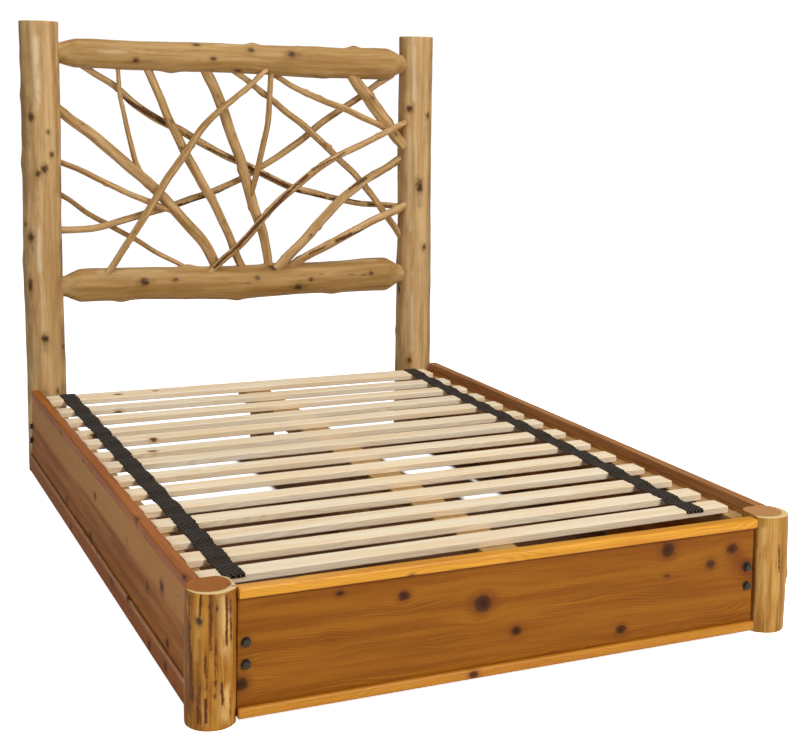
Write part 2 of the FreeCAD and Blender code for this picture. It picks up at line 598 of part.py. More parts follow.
# Twigs of the lattice. Each point is a share of the way from the left head post to the
# right one, a share of the way up from the lower rail to the upper, and a depth in
# layers behind the headboard's middle. The last value is the thickness there.
twig_shares = {
    1: [(0.080, 0.962, 0.35, 0.85), (0.167, 0.868, 0.85, 0.9), (0.254, 0.756, 1.0, 1.0),
        (0.366, 0.652, 1.0, 1.0), (0.509, 0.525, 0.86, 0.95), (0.546, 0.495, 0.78, 0.95),
        (0.655, 0.413, 0.76, 0.95), (0.779, 0.358, 0.8, 0.9), (0.886, 0.330, 0.8, 0.85),
        (0.962, 0.321, 0.3, 0.8)],
    2: [(0.171, 0.976, 0, 0.8), (0.188, 0.756, 0, 0.9), (0.224, 0.526, 0, 1.0), (0.274, 0.409, 0, 1.0)],
    3: [(0.010, 0.790, 0, 0.85), (0.121, 0.637, 0, 1.0), (0.227, 0.487, 0, 1.0),
        (0.307, 0.348, 0, 0.95), (0.386, 0.202, 0, 0.95), (0.441, 0.037, 0, 0.9)],
    4: [(0.240, 0.974, 0, 0.85), (0.296, 0.766, 0, 0.95), (0.345, 0.584, 0, 1.0),
        (0.406, 0.408, 0, 1.0), (0.457, 0.235, 0, 0.95), (0.509, 0.033, 0, 0.9)],
    5: [(0.393, 0.968, 0, 0.9), (0.451, 0.752, 0, 1.0), (0.489, 0.569, 0, 1.0),
        (0.523, 0.387, 0, 1.0), (0.557, 0.215, 0, 0.95), (0.579, 0.029, 0, 0.9)],
    6: [(0.556, 0.954, -0.9, 0.65), (0.477, 0.834, -1, 0.8), (0.385, 0.695, -1, 0.95),
        (0.341, 0.580, -1, 1.0), (0.287, 0.451, -1, 1.0), (0.248, 0.340, -1, 1.0),
        (0.200, 0.207, -1, 0.9), (0.129, 0.024, -0.9, 0.8)],
    7: [(0.018, 0.248, 0.2, 0.9), (0.127, 0.253, 0.35, 0.95), (0.242, 0.306, 0.9, 1.0),
        (0.346, 0.352, 1.0, 1.0), (0.450, 0.417, 1.15, 1.0), (0.546, 0.488, 1.42, 0.95),
        (0.653, 0.609, 1.2, 1.0), (0.764, 0.753, 1.0, 1.0), (0.928, 0.945, 0.4, 0.9)],
    8: [(0.018, 0.551, 0, 0.9), (0.121, 0.471, 0, 1.0), (0.199, 0.404, 0, 1.0),
        (0.271, 0.348, 0, 0.95), (0.309, 0.325, 0, 0.9)],
    9: [(0.018, 0.418, 0.8, 0.9), (0.132, 0.288, 1.25, 1.0), (0.206, 0.210, 1.2, 1.0),
        (0.336, 0.082, 0.7, 1.0), (0.374, 0.042, 0.5, 0.95)],
    10: [(0.460, 0.963, 0, 0.8), (0.592, 0.803, 0, 0.9), (0.691, 0.669, 0, 1.0),
         (0.801, 0.501, 0, 1.0), (0.897, 0.317, 0, 1.0), (0.964, 0.160, 0, 0.95)],
    11: [(0.575, 0.963, -0.3, 0.95), (0.563, 0.805, -0.95, 1.0), (0.553, 0.656, -1, 1.0),
         (0.535, 0.517, -0.9, 0.95), (0.521, 0.387, -0.25, 0.9)],
    12: [(0.585, 0.934, 0.35, 0.85), (0.694, 0.830, -0.9, 1.0), (0.811, 0.759, -0.9, 1.0),
         (0.917, 0.675, -0.4, 0.95)],
    13: [(0.790, 0.960, -0.3, 0.9), (0.867, 0.792, -0.4, 1.0), (0.915, 0.689, -0.4, 1.0),
         (0.957, 0.607, -0.55, 0.9)],
    14: [(0.399, 0.034, -0.95, 0.9), (0.487, 0.172, -1, 1.0), (0.576, 0.332, -1, 1.0),
         (0.675, 0.479, -1, 1.0), (0.788, 0.592, -1.1, 1.0), (0.892, 0.677, -1.4, 0.95),
         (0.972, 0.734, -1.35, 0.9)],
    15: [(0.591, 0.055, -1, 1.0), (0.672, 0.193, -0.9, 1.0), (0.748, 0.334, -0.9, 0.95),
         (0.828, 0.438, -0.85, 0.9), (0.965, 0.563, 0.1, 0.85)],
    16: [(0.617, 0.045, -0.2, 0.95), (0.735, 0.157, -1, 1.0), (0.834, 0.241, -1, 1.0),
         (0.918, 0.302, -1, 0.95), (0.972, 0.340, -1, 0.9)],
}
# Twigs that end on another twig: the first is scribed to the second.
scribed = {2: 3, 8: 3, 11: 5, 12: 13}

lattice_low = value("lower_rail_height")
lattice_rise = value("upper_rail_height - lower_rail_height")
lattice_start = head_axes["left"]
lattice_run = head_axes["right"] - head_axes["left"]
layer = value("twig_layer")


def twig(number, growth=0):
    thickest = value(f"twig_{number:02d}_radius")
    stations = [(Vector(lattice_start + lattice_run * along, head_y + layer * depth,
                        lattice_low + lattice_rise * up), thickest * thick + growth)
                for along, up, depth, thick in twig_shares[number]]
    return grown(eased(stations))


twigs = {number: twig(number) for number in twig_shares}
holes = {number: twig(number, clearance) for number in twig_shares}
for number, other in scribed.items():
    twigs[number] = max(twigs[number].cut(holes[other]).Solids, key=lambda solid: solid.Volume)

rails = {}
for name in rail_shares:
    log, ends = headboard_rail(name, 0)
    rails[name] = log.fuse(ends).removeSplitter()
    bores = headboard_rail(name, clearance)[1]
    for side, bore in zip(("left", "right"), bores):
        posts[f"head_post_{side}"] = posts[f"head_post_{side}"].cut(bore)


def pierced(solid):
    """A log with a hole for every twig that ends in it."""
    for hole in holes.values():
        if hole.BoundBox.intersect(solid.BoundBox):
            solid = max(solid.cut(hole).Solids, key=lambda piece: piece.Volume)
    return solid


for name in rail_shares:
    rails[name] = pierced(rails[name])
for side in ("left", "right"):
    posts[f"head_post_{side}"] = pierced(posts[f"head_post_{side}"])

grown_pieces = dict(posts)
grown_pieces.update({f"headboard_{name}_rail": rail for name, rail in rails.items()})
grown_pieces.update({f"twig_{number:02d}": shape for number, shape in twigs.items()})
for label, shape in grown_pieces.items():
    item = doc.addObject("Part::Feature", label)
    item.Shape = shape
    keep(item, label)

doc.recompute()
for item in doc.Objects:
    if "Invalid" in item.State or "Error" in item.State:
        raise RuntimeError(f"{item.Label} failed: {item.State}")
for label, item in pieces.items():
    if item.Shape.isNull() or not item.Shape.isValid():
        raise RuntimeError(f"{label} has no valid shape")

os.makedirs("parts", exist_ok=True)
for label, item in pieces.items():
    item.Shape.exportStep(os.path.join("parts", f"{label}.step"))
print(len(pieces), "pieces written")
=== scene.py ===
import json
import math
import random
import bpy
import numpy as np
from mathutils import Matrix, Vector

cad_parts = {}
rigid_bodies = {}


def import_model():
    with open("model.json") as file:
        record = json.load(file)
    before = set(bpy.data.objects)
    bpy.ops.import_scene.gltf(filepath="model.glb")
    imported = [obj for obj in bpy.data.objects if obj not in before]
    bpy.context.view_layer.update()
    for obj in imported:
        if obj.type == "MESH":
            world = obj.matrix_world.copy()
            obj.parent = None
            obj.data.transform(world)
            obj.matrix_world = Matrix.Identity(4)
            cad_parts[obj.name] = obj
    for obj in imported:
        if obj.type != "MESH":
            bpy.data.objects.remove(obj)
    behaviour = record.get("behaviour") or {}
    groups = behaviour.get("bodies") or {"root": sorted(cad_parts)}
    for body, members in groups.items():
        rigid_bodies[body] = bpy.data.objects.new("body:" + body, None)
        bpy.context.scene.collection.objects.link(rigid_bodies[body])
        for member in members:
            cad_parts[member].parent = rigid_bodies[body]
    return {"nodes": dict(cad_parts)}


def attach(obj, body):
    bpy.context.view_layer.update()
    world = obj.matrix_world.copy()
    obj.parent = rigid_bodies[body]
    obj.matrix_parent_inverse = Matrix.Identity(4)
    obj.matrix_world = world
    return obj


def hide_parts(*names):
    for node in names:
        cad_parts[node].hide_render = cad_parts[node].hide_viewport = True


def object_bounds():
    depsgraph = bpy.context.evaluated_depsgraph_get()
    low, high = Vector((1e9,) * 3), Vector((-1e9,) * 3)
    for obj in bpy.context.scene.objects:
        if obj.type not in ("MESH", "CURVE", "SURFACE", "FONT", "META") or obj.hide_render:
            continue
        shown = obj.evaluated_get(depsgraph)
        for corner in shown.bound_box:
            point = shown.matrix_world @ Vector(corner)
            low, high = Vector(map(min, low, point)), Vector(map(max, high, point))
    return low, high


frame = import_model()
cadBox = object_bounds()
print("frame loaded:", len(frame["nodes"]), "nodes")

mm = 0.001  # sizes are in millimetres in the frame's own axes, unless metres are named

# Where the bed's parts stand, the same values as the part's own.
bed = {
    "leftAxis": -677.75,
    "rightAxis": 687.25,
    "middle": 4.75,
    "footAxis": -986.25,
    "headAxis": 976.75,
    "sideInner": 693.5,
    "boardThickness": 19,
    "floorGap": 11,
    "railTop": 279,
    "ledgeTop": 243,
    "seatGap": 0.3,
}

# The camera stands where the photograph's straight edges put it.
cameraView = {
    "imageWidth": 800,
    "imageHeight": 750,
    "focalPixels": 1396.59,
    "opticalColumn": 400.02,
    "opticalRow": 210.56,
    "place": (-1453.2, -3596.09, 1269.45),
    "yaw": 24.17,
    "pitch": 5.02,
    "roll": 1.07,
    "sensor": 36,
}
yaw, pitch, roll = (math.radians(cameraView[turn]) for turn in ("yaw", "pitch", "roll"))
cameraPlace = np.array(cameraView["place"])
ahead = np.array([math.sin(yaw) * math.cos(pitch), math.cos(yaw) * math.cos(pitch), -math.sin(pitch)])
level = np.array([math.cos(yaw), -math.sin(yaw), 0])
above = np.cross(level, ahead)
cameraRight = math.cos(roll) * level + math.sin(roll) * above
cameraUp = -math.sin(roll) * level + math.cos(roll) * above


def project(points):
    offsets = points - cameraPlace
    depth = offsets @ ahead
    columns = cameraView["opticalColumn"] + cameraView["focalPixels"] * (offsets @ cameraRight) / depth
    rows = cameraView["opticalRow"] - cameraView["focalPixels"] * (offsets @ cameraUp) / depth
    return columns, rows


def facesCamera(shape):
    return np.sum((cameraPlace - shape["points"]) * shape["normals"], axis=1) > 0


def pick(shape, column, row):
    # the point of a shape that the photograph's pixel shows
    columns, rows = project(shape["points"])
    distance = (columns - column) ** 2 + (rows - row) ** 2
    return int(np.argmin(np.where(facesCamera(shape), distance, np.inf)))


def linear(code):
    # sRGB hex to linear RGBA
    parts = [int(code[k:k + 2], 16) / 255 for k in (1, 3, 5)]
    return tuple(c / 12.92 if c <= 0.04045 else ((c + 0.055) / 1.055) ** 2.4 for c in parts) + (1,)


def addNode(tree, kind, settings=None, inputs=None, output=0):
    # adds a node, sets it up and links it, and gives back one of its outputs
    node = tree.nodes.new(kind)
    for name, value in (settings or {}).items():
        setattr(node, name, value)
    for key, value in (inputs or {}).items():
        if isinstance(value, bpy.types.NodeSocket):
            tree.links.new(value, node.inputs[key])
        else:
            node.inputs[key].default_value = value
    return node.outputs[output] if len(node.outputs) else node


colourMix = {"data_type": "RGBA"}
mixFactor, mixFirst, mixSecond, mixResult = 0, 6, 7, 2  # sockets of a colour mix
smooth = {"interpolation_type": "SMOOTHSTEP"}
times, plus, timesPlus = ({"operation": word} for word in ("MULTIPLY", "ADD", "MULTIPLY_ADD"))
ringScale = 0.314  # wave texture's scale for one ring in each unit of its vector


def startMaterial(name):
    material = bpy.data.materials.new(name)
    material.use_nodes = True
    material.node_tree.nodes.clear()
    return material, material.node_tree


def readMarks(tree, extras=()):
    # what each point of a piece of wood carries
    found = {}
    kinds = {"grain": "Vector", "marks": "Color"}
    for name in ("grain", "marks", "knot", "knotTone", *extras):
        found[name] = addNode(tree, "ShaderNodeAttribute", {"attribute_name": name},
                              output=kinds.get(name, "Fac"))
    parts = addNode(tree, "ShaderNodeSeparateColor", inputs={0: found["marks"]}).node.outputs
    # the marks' red carries stains and painted shade, green pale wood and painted highlights, blue bark or
    # tone
    found.update(zip(("stain", "pale", "bark"), parts))
    return found


def drawNoises(tree, grain, layers, alongAxis):
    # one noise for each layer, drawn out along the grain
    noises = {}
    for layer, (width, length, detail) in layers.items():
        scale = [1 / (width * mm)] * 3
        scale[alongAxis] = 1 / (length * mm)
        spread = addNode(tree, "ShaderNodeMapping", inputs={"Vector": grain, "Scale": scale})
        noises[layer] = addNode(tree, "ShaderNodeTexNoise", inputs={
            "Vector": spread, "Scale": 1, "Detail": detail, "Roughness": 0.6})
    return noises


def knotLayers(tree, marks, crumbs, look):
    # a soft brown halo, then a dark heart, both with uneven edges: the share and colour of each
    uneven = addNode(tree, "ShaderNodeMath", timesPlus, {
        0: crumbs, 1: look["knotUneven"], 2: -look["knotUneven"] / 2})
    distance = addNode(tree, "ShaderNodeMath", plus, {0: marks["knot"], 1: uneven})
    layers = []
    for outer, inner, colour, share in look["knotRings"]:
        ring = addNode(tree, "ShaderNodeMapRange", smooth, {
            "Value": distance, "From Min": outer, "From Max": inner, "To Max": share})
        layers.append((addNode(tree, "ShaderNodeMath", times, {0: ring, 1: marks["knotTone"]}), colour))
    return layers


# Peeled wood: logs and twigs with the bark drawn off by hand, then a satin clear coat.
# Fibres run along the log, knots stay darker and proud, and strips of inner bark are left.
def peeledWood(name, look):
    material, tree = startMaterial(name)
    marks = readMarks(tree, ("end", "crack"))
    noises = drawNoises(tree, marks["grain"], look["layers"], 2)

    # heart and sap colours in broad strips, then fine fibres over them
    shares = {}
    for part, layer, low, high, top in (
            ("broad", "strips", 0.36, 0.64, 1), ("blotch", "blotches", 0.5, 0.72, look["blotchShare"]),
            ("streak", "fibres", 0.5, 0.75, look["fibreShare"]),
            ("gleam", "fibres", 0.48, 0.3, look["fibreShare"] * 0.6), ("soft", "blotches", 0.38, 0.58, 1)):
        shares[part] = addNode(tree, "ShaderNodeMapRange", smooth, {
            "Value": noises[layer], "From Min": low, "From Max": high, "To Max": top})
    layers = [(shares["broad"], look["deep"]), (shares["blotch"], look["blotch"]),
              (shares["streak"], look["fibre"]), (shares["gleam"], look["pale"])]

    # listed pale sapwood and painted highlights, stains and painted shade, then ragged strips of inner bark
    pale, stain = (addNode(tree, "ShaderNodeMath", times, {0: marks[mark], 1: shares["soft"]})
                   for mark in ("pale", "stain"))
    wander = addNode(tree, "ShaderNodeMath", timesPlus, {0: noises["fibres"], 1: 1.1, 2: -0.55})
    ragged = addNode(tree, "ShaderNodeMath", timesPlus, {0: noises["crumbs"], 1: 1.3, 2: -0.65})
    ragged = addNode(tree, "ShaderNodeMath", plus, {0: ragged, 1: wander})
    ragged = addNode(tree, "ShaderNodeMath", plus, {0: marks["bark"], 1: ragged})
    strip = addNode(tree, "ShaderNodeMapRange", smooth, {"Value": ragged, "From Min": 0.28, "From Max": 0.8})
    near = addNode(tree, "ShaderNodeMapRange", inputs={
        "Value": marks["bark"], "From Min": 0.02, "From Max": 0.2})
    strip = addNode(tree, "ShaderNodeMath", times, {0: strip, 1: near})
    layers += [(pale, look["pale"]), (stain, look["stain"]), (strip, look["bark"])]
    layers += knotLayers(tree, marks, noises["crumbs"], look)

    # sawn ends: growth rings round the pith, brown heartwood, a thin pale ring of sapwood
    flat = addNode(tree, "ShaderNodeVectorMath", times, {0: marks["grain"], 1: (1, 1, 0)})
    bent = addNode(tree, "ShaderNodeTexNoise", inputs={
        "Vector": flat, "Scale": 22, "Detail": 3}, output="Color")
    bent = addNode(tree, "ShaderNodeVectorMath", timesPlus, {0: bent, 1: (0.012, 0.012, 0), 2: flat})
    rings = addNode(tree, "ShaderNodeTexWave", {"wave_type": "RINGS", "rings_direction": "Z"}, {
        "Vector": bent, "Scale": ringScale / (look["ringSpacing"] * mm)})
    rimward = addNode(tree, "ShaderNodeVectorMath", {"operation": "LENGTH"}, {0: bent}, output="Value")
    sap = addNode(tree, "ShaderNodeMapRange", smooth, {
        "Value": rimward, "From Min": look["heartRadius"] * mm, "From Max": (look["heartRadius"] + 3) * mm})
    sawn = linear(look["heartLight"])
    for share, colour in ((rings, look["heartDeep"]), (sap, look["sap"])):
        sawn = addNode(tree, "ShaderNodeMix", colourMix, {
            mixFactor: share, mixFirst: sawn, mixSecond: linear(colour)}, mixResult)
    onEnd = addNode(tree, "ShaderNodeMapRange", smooth, {
        "Value": marks["end"], "From Min": 0.35, "From Max": 0.85})
    # drying cracks, on the round of the log and on its end
    crack = addNode(tree, "ShaderNodeMath", plus, {0: marks["crack"], 1: wander})
    crack = addNode(tree, "ShaderNodeMapRange", smooth, {"Value": crack, "From Min": 0.45, "From Max": 0.8})
    layers += [(onEnd, sawn), (crack, look["crack"])]
    base = linear(look["light"])
    for share, colour in layers:
        over = linear(colour) if isinstance(colour, str) else colour
        base = addNode(tree, "ShaderNodeMix", colourMix, {
            mixFactor: share, mixFirst: base, mixSecond: over}, mixResult)

    rough = addNode(tree, "ShaderNodeMapRange", inputs={
        "Value": noises["strips"], "To Min": look["roughness"] - 0.06, "To Max": look["roughness"] + 0.1})
    height = addNode(tree, "ShaderNodeMath", timesPlus, {0: crack, 1: -1.5, 2: noises["fibres"]})
    normal = addNode(tree, "ShaderNodeBump", inputs={
        "Height": height, "Strength": look["reliefShare"], "Distance": 0.8 * mm})
    shader = addNode(tree, "ShaderNodeBsdfPrincipled", inputs={
        "Base Color": base, "Roughness": rough, "IOR": 1.5, "Specular IOR Level": 0.22,
        "Coat Weight": look["coat"], "Coat Roughness": 0.35, "Normal": normal})
    addNode(tree, "ShaderNodeOutputMaterial", inputs={"Surface": shader})
    return material


# Sawn softwood: growth rings cut at a slant give long lines and arches along the board,
# which part round the knots. The attribute "grain" is in metres: along, across, depth.
def sawnWood(name, look):
    material, tree = startMaterial(name)
    marks = readMarks(tree)
    noises = drawNoises(tree, marks["grain"], look["layers"], 0)
    drift = addNode(tree, "ShaderNodeMath", timesPlus, {
        0: noises["drift"], 1: look["driftReach"] * mm, 2: look["pithDepth"] * mm})
    shift = addNode(tree, "ShaderNodeCombineXYZ", inputs={"Y": drift, "Z": drift})
    trunk = addNode(tree, "ShaderNodeVectorMath", plus, {0: marks["grain"], 1: shift})
    rings = addNode(tree, "ShaderNodeTexWave", {"wave_type": "RINGS", "rings_direction": "X"}, {
        "Vector": trunk, "Scale": ringScale / (look["ringSpacing"] * mm)})
    shares = []
    for value, low, high, top in (
            (noises["strips"], 0.35, 0.65, 1), (rings, 0.35, 1.0, look["ringShare"]),
            (noises["fibres"], 0.48, 0.78, look["fibreShare"])):
        shares.append(addNode(tree, "ShaderNodeMapRange", smooth, {
            "Value": value, "From Min": low, "From Max": high, "To Max": top}))
    broad, late, streak = shares
    base = linear(look["light"])
    # over the grain: pale wood and painted highlights, stains and painted shade
    for share, colour in (
            (broad, look["deep"]), (marks["pale"], look["pale"]), (marks["stain"], look["stain"]),
            (late, look["late"]), (streak, look["late"])):
        base = addNode(tree, "ShaderNodeMix", colourMix, {
            mixFactor: share, mixFirst: base, mixSecond: linear(colour)}, mixResult)
    # boards differ a little in depth of colour, which the blue mark carries
    shade = addNode(tree, "ShaderNodeMapRange", inputs={
        "Value": marks["bark"], "To Min": 1 - look["toneSpread"], "To Max": 1 + look["toneSpread"]})
    base = addNode(tree, "ShaderNodeVectorMath", {"operation": "SCALE"}, {0: base, "Scale": shade})
    for share, colour in knotLayers(tree, marks, noises["crumbs"], look):
        base = addNode(tree, "ShaderNodeMix", colourMix, {
            mixFactor: share, mixFirst: base, mixSecond: linear(colour)}, mixResult)

    height = addNode(tree, "ShaderNodeMath", timesPlus, {0: late, 1: -0.5, 2: noises["fibres"]})
    normal = addNode(tree, "ShaderNodeBump", inputs={
        "Height": height, "Strength": look["reliefShare"], "Distance": 0.5 * mm})
    rough = addNode(tree, "ShaderNodeMapRange", inputs={
        "Value": noises["strips"], "To Min": look["roughness"] - 0.05, "To Max": look["roughness"] + 0.08})
    shader = addNode(tree, "ShaderNodeBsdfPrincipled", inputs={
        "Base Color": base, "Roughness": rough, "IOR": 1.5, "Specular IOR Level": look["specular"],
        "Coat Weight": look["coat"], "Coat Roughness": 0.3, "Normal": normal})
    addNode(tree, "ShaderNodeOutputMaterial", inputs={"Surface": shader})
    return material


# Noise layers in millimetres: across the grain, along it, detail.
logLayers = {
    "strips": (26, 420, 3),
    "blotches": (48, 130, 3),
    "fibres": (5, 90, 4),  # real fibres are finer than a pixel, drawn as coarse as they show
    "crumbs": (9, 14, 3),
}
boardLayers = {
    "strips": (24, 500, 3),
    "fibres": (3.2, 110, 4),  # drawn coarser than the real fibres so that they show
    "drift": (120, 600, 2),
    "crumbs": (7, 16, 3),
}
logKnots = [
    (2.2, 0.8, "#8E6632", 0.45),
    (1.15, 0.7, "#664420", 0.8),
    (0.7, 0.35, "#33220F", 0.85),
]
peeledLook = {
    "layers": logLayers,
    "light": "#D4AE78",
    "deep": "#BA9059",
    "blotch": "#A87E48",
    "blotchShare": 0.35,
    "fibre": "#8A6636",
    "fibreShare": 0.3,
    "pale": "#EAD6B0",
    "stain": "#6B4A22",
    "bark": "#5A3614",
    "knotRings": logKnots,
    "knotUneven": 1.7,
    "heartLight": "#B06C24",
    "heartDeep": "#8A4E16",
    "heartRadius": 45,
    "sap": "#E3C58D",
    "ringSpacing": 3.4,
    "crack": "#3A2412",
    "roughness": 0.52,
    "reliefShare": 0.3,
    "coat": 0.06,
}
peeledPine = peeledWood("peeled pine, clear satin coat", peeledLook)
peeledRail = peeledWood("peeled pine, aged, clear satin coat", {
    **peeledLook, "light": "#BC945A", "deep": "#A2773C", "blotch": "#8E6530", "pale": "#D6BA88"})
footLook = {
    **peeledLook, "light": "#CC9A4C", "deep": "#AA7228", "blotch": "#96601E", "fibre": "#6E4212",
    "fibreShare": 0.6, "pale": "#E8BE74", "coat": 0.03}
footPostWood = {
    "left": peeledWood("peeled pine, streaked with inner bark", {
        **footLook, "light": "#CA8E30", "deep": "#A06010", "blotch": "#744008", "blotchShare": 0.5,
        "stain": "#7C4A12", "bark": "#66340A", "heartLight": "#B26A16", "heartDeep": "#8C4C0E"}),
    "right": peeledWood("peeled pine, freshly drawn", {
        **footLook, "heartLight": "#CE945A", "heartDeep": "#AC7844"}),
}
twigWood = peeledWood("peeled branch wood, clear satin coat", {
    **peeledLook,
    "layers": {"strips": (14, 200, 3), "blotches": (30, 80, 3), "fibres": (4, 60, 4), "crumbs": (6, 10, 3)},
    "light": "#CFA670", "deep": "#A67C44", "fibreShare": 0.45, "heartRadius": 20})

boardKnots = [
    (2.6, 0.8, "#7A4214", 0.75),
    (1.35, 0.75, "#4A260C", 0.92),
    (0.7, 0.2, "#2E1606", 0.7),
]
stainedLook = {
    "layers": boardLayers,
    "light": "#B26E16",
    "deep": "#9A580C",
    "late": "#5E300A",
    "ringShare": 0.3,
    "ringSpacing": 4.2,
    "pithDepth": 62,
    "driftReach": 70,
    "fibreShare": 0.28,
    "pale": "#C79A5E",
    "stain": "#7A3A16",
    "toneSpread": 0.08,
    "knotRings": boardKnots,
    "knotUneven": 1.0,
    "roughness": 0.5,
    "specular": 0.14,
    "reliefShare": 0.25,
    "coat": 0.02,
}
stainedBoard = sawnWood("stained knotty cedar board", stainedLook)
sideBoardWood = sawnWood("stained knotty cedar board, older", {
    **stainedLook, "light": "#B87430", "deep": "#98581E", "late": "#663410", "pale": "#CC9450",
    "specular": 0.08, "coat": 0.0, "ringShare": 0.3})
honeyTrim = sawnWood("planed pine trim, honey lacquer", {
    **stainedLook, "light": "#F8AE34", "deep": "#E29424", "late": "#9C5C10", "ringShare": 0.2,
    "pale": "#EAC080", "stain": "#9A5A1C", "roughness": 0.36, "coat": 0.25})
sideTrimWood = sawnWood("planed pine trim, brown lacquer", {
    **stainedLook, "light": "#BC6E26", "deep": "#A4581A", "late": "#743A0E", "ringShare": 0.35,
    "pale": "#E0B080", "roughness": 0.45, "specular": 0.12, "coat": 0.04})
wornTrimWood = sawnWood("planed pine trim, lacquer worn thin", {
    **stainedLook, "light": "#C48C58", "deep": "#A87042", "late": "#6E4424", "ringShare": 0.35,
    "fibreShare": 0.4, "pale": "#E0B890", "roughness": 0.6, "specular": 0.12, "coat": 0.0})
slatWood = sawnWood("raw sawn pine slat", {
    **stainedLook, "light": "#FFF0D4", "deep": "#FAE0B8", "late": "#DCB684", "ringShare": 0.3,
    "ringSpacing": 4.5, "pale": "#F0E4CE", "stain": "#B98C54", "roughness": 0.7, "specular": 0.25,
    "coat": 0.0, "fibreShare": 0.22, "toneSpread": 0.05,
    "knotRings": [(2.2, 1.0, "#C79A5E", 0.6), (1.2, 0.8, "#6B4420", 0.85), (0.6, 0.2, "#3E2410", 0.8)]})
frameWood = sawnWood("rough sawn pine", {
    **stainedLook, "light": "#C9A26A", "deep": "#B48A52", "late": "#8A6030", "roughness": 0.75,
    "specular": 0.2, "coat": 0.0})
print("wood finishes ready")


def addObject(name, content):
    piece = bpy.data.objects.new(name, content)
    bpy.context.scene.collection.objects.link(piece)
    return piece


def settle(piece, body, slotName, *nodes):
    # the piece rides on its body and stands for its nodes
    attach(piece, body)
    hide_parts(*nodes)


def writeLayer(mesh, name, kind, values):
    # one number, vector or colour for each point
    layer = mesh.attributes.new(name, kind, "POINT")
    key = {"FLOAT": "value", "FLOAT_VECTOR": "vector", "FLOAT_COLOR": "color"}[kind]
    layer.data.foreach_set(key, np.asarray(values, np.float32).ravel())


def smoothMesh(mesh, sharpAngle):
    mesh.shade_smooth()
    mesh.set_sharp_from_angle(angle=math.radians(sharpAngle))


def writeMarks(mesh, shape):
    writeLayer(mesh, "knot", "FLOAT", shape["knot"])
    writeLayer(mesh, "knotTone", "FLOAT", shape["knotTone"])
    writeLayer(mesh, "grain", "FLOAT_VECTOR", shape["grain"] * mm)
    # red: stains and painted shade, green: pale wood and painted highlights, blue: bark or tone
    colours = np.column_stack([shape["stain"], shape["pale"], shape["bark"], np.ones(len(shape["bark"]))])
    writeLayer(mesh, "marks", "FLOAT_COLOR", np.clip(colours, 0, 1))


def finishShape(name, shape, material, slotName, node):
    # puts a shape into a mesh with its marks and lets it ride on the frame
    low, high = (np.array(corner) / mm for corner in cadBox)
    mesh = bpy.data.meshes.new(name)
    mesh.from_pydata((np.clip(shape["points"], low, high) * mm).tolist(), [], shape["faces"])
    mesh.validate()
    writeMarks(mesh, shape)
    writeLayer(mesh, "end", "FLOAT", shape["end"])
    writeLayer(mesh, "crack", "FLOAT", shape["crack"])
    smoothMesh(mesh, shape["sharpAngle"])
    mesh.materials.append(material)
    settle(addObject(name, mesh), "bed_frame", slotName, node)


trunkStep = 977  # how far apart in the trunk the grain of two pieces lies


def blankMarks(shape, seed):
    # no marks yet, and grain taken from another place of the trunk for each seed
    count = len(shape["points"])
    shape["knot"] = np.full(count, 3.0)
    for mark in ("knotTone", "crack", "stain", "pale", "bark"):
        shape[mark] = np.zeros(count)
    shape["grain"] = shape["grain"] + shape["grainRun"] * seed * trunkStep
    return shape


def joinRings(count, sides):
    # the faces between rings of points that follow each other
    around = [(j, (j + 1) % sides) for j in range(sides)]
    return [(i * sides + j, i * sides + after, (i + 1) * sides + after, (i + 1) * sides + j)
            for i in range(count - 1) for j, after in around]


def toSegment(points, start, end):
    # distance of points from a line between two places
    run = end - start
    share = np.clip((points - start) @ run / max(run @ run, 1e-9), 0, 1)
    return np.linalg.norm(points - start - share[:, None] * run, axis=1)


def addKnots(shape, knots):
    # each knot: column and row of its pixel, radius, stretch along the grain, tone, bump
    for column, row, radius, stretch, tone, bump in knots:
        addKnot(shape, pick(shape, column, row), radius, stretch, tone, bump)


knotReach = 2.9  # how far a knot's halo reaches, in its radii
swellReach = 1.5  # how far the wood swells round a knot


def addKnot(shape, index, radius, stretch, tone, bump):
    centre, run = shape["points"][index].copy(), shape["runs"][index]
    offsets = shape["points"] - centre
    along = offsets @ run
    square = np.sum(offsets ** 2, axis=1) - along ** 2 + (along / stretch) ** 2
    distance = np.sqrt(np.maximum(square, 0)) / radius
    nearer = distance < shape["knot"]
    shape["knotTone"] = np.where(nearer & (distance < knotReach), tone, shape["knotTone"])
    shape["knot"] = np.minimum(distance, shape["knot"])
    swell = bump * np.exp(-(distance / swellReach) ** 2)
    shape["points"] = shape["points"] + shape["normals"] * swell[:, None]


def addStrokes(shape, mark, strokes):
    # each stroke: two pixels, half width, strength
    for firstColumn, firstRow, lastColumn, lastRow, width, strength in strokes:
        start = shape["points"][pick(shape, firstColumn, firstRow)]
        end = shape["points"][pick(shape, lastColumn, lastRow)]
        distance = toSegment(shape["points"], start, end)
        shape[mark] = np.maximum(shape[mark], strength * np.exp(-(distance / width) ** 2))


def addBumps(shape, bumps):
    # swellings of the outline: column and row of a pixel, reach, height
    for column, row, reach, height in bumps:
        centre = shape["points"][pick(shape, column, row)]
        distance = np.linalg.norm(shape["points"] - centre, axis=1)
        swell = height * np.exp(-(distance / reach / 1.3) ** 2)
        shape["points"] = shape["points"] + shape["normals"] * swell[:, None]


def addHiddenKnots(shape, count, radius, seed):
    # knots on the faces that the photograph doesn't show, at random but always the same
    draw = random.Random(seed)
    places = np.flatnonzero(~facesCamera(shape) & (shape["end"] < 0.1))
    for _ in range(count):
        addKnot(shape, int(draw.choice(places)), radius * draw.uniform(0.6, 1.2),
                draw.uniform(1, 1.6), draw.uniform(0.5, 1), radius * draw.uniform(0.1, 0.28))


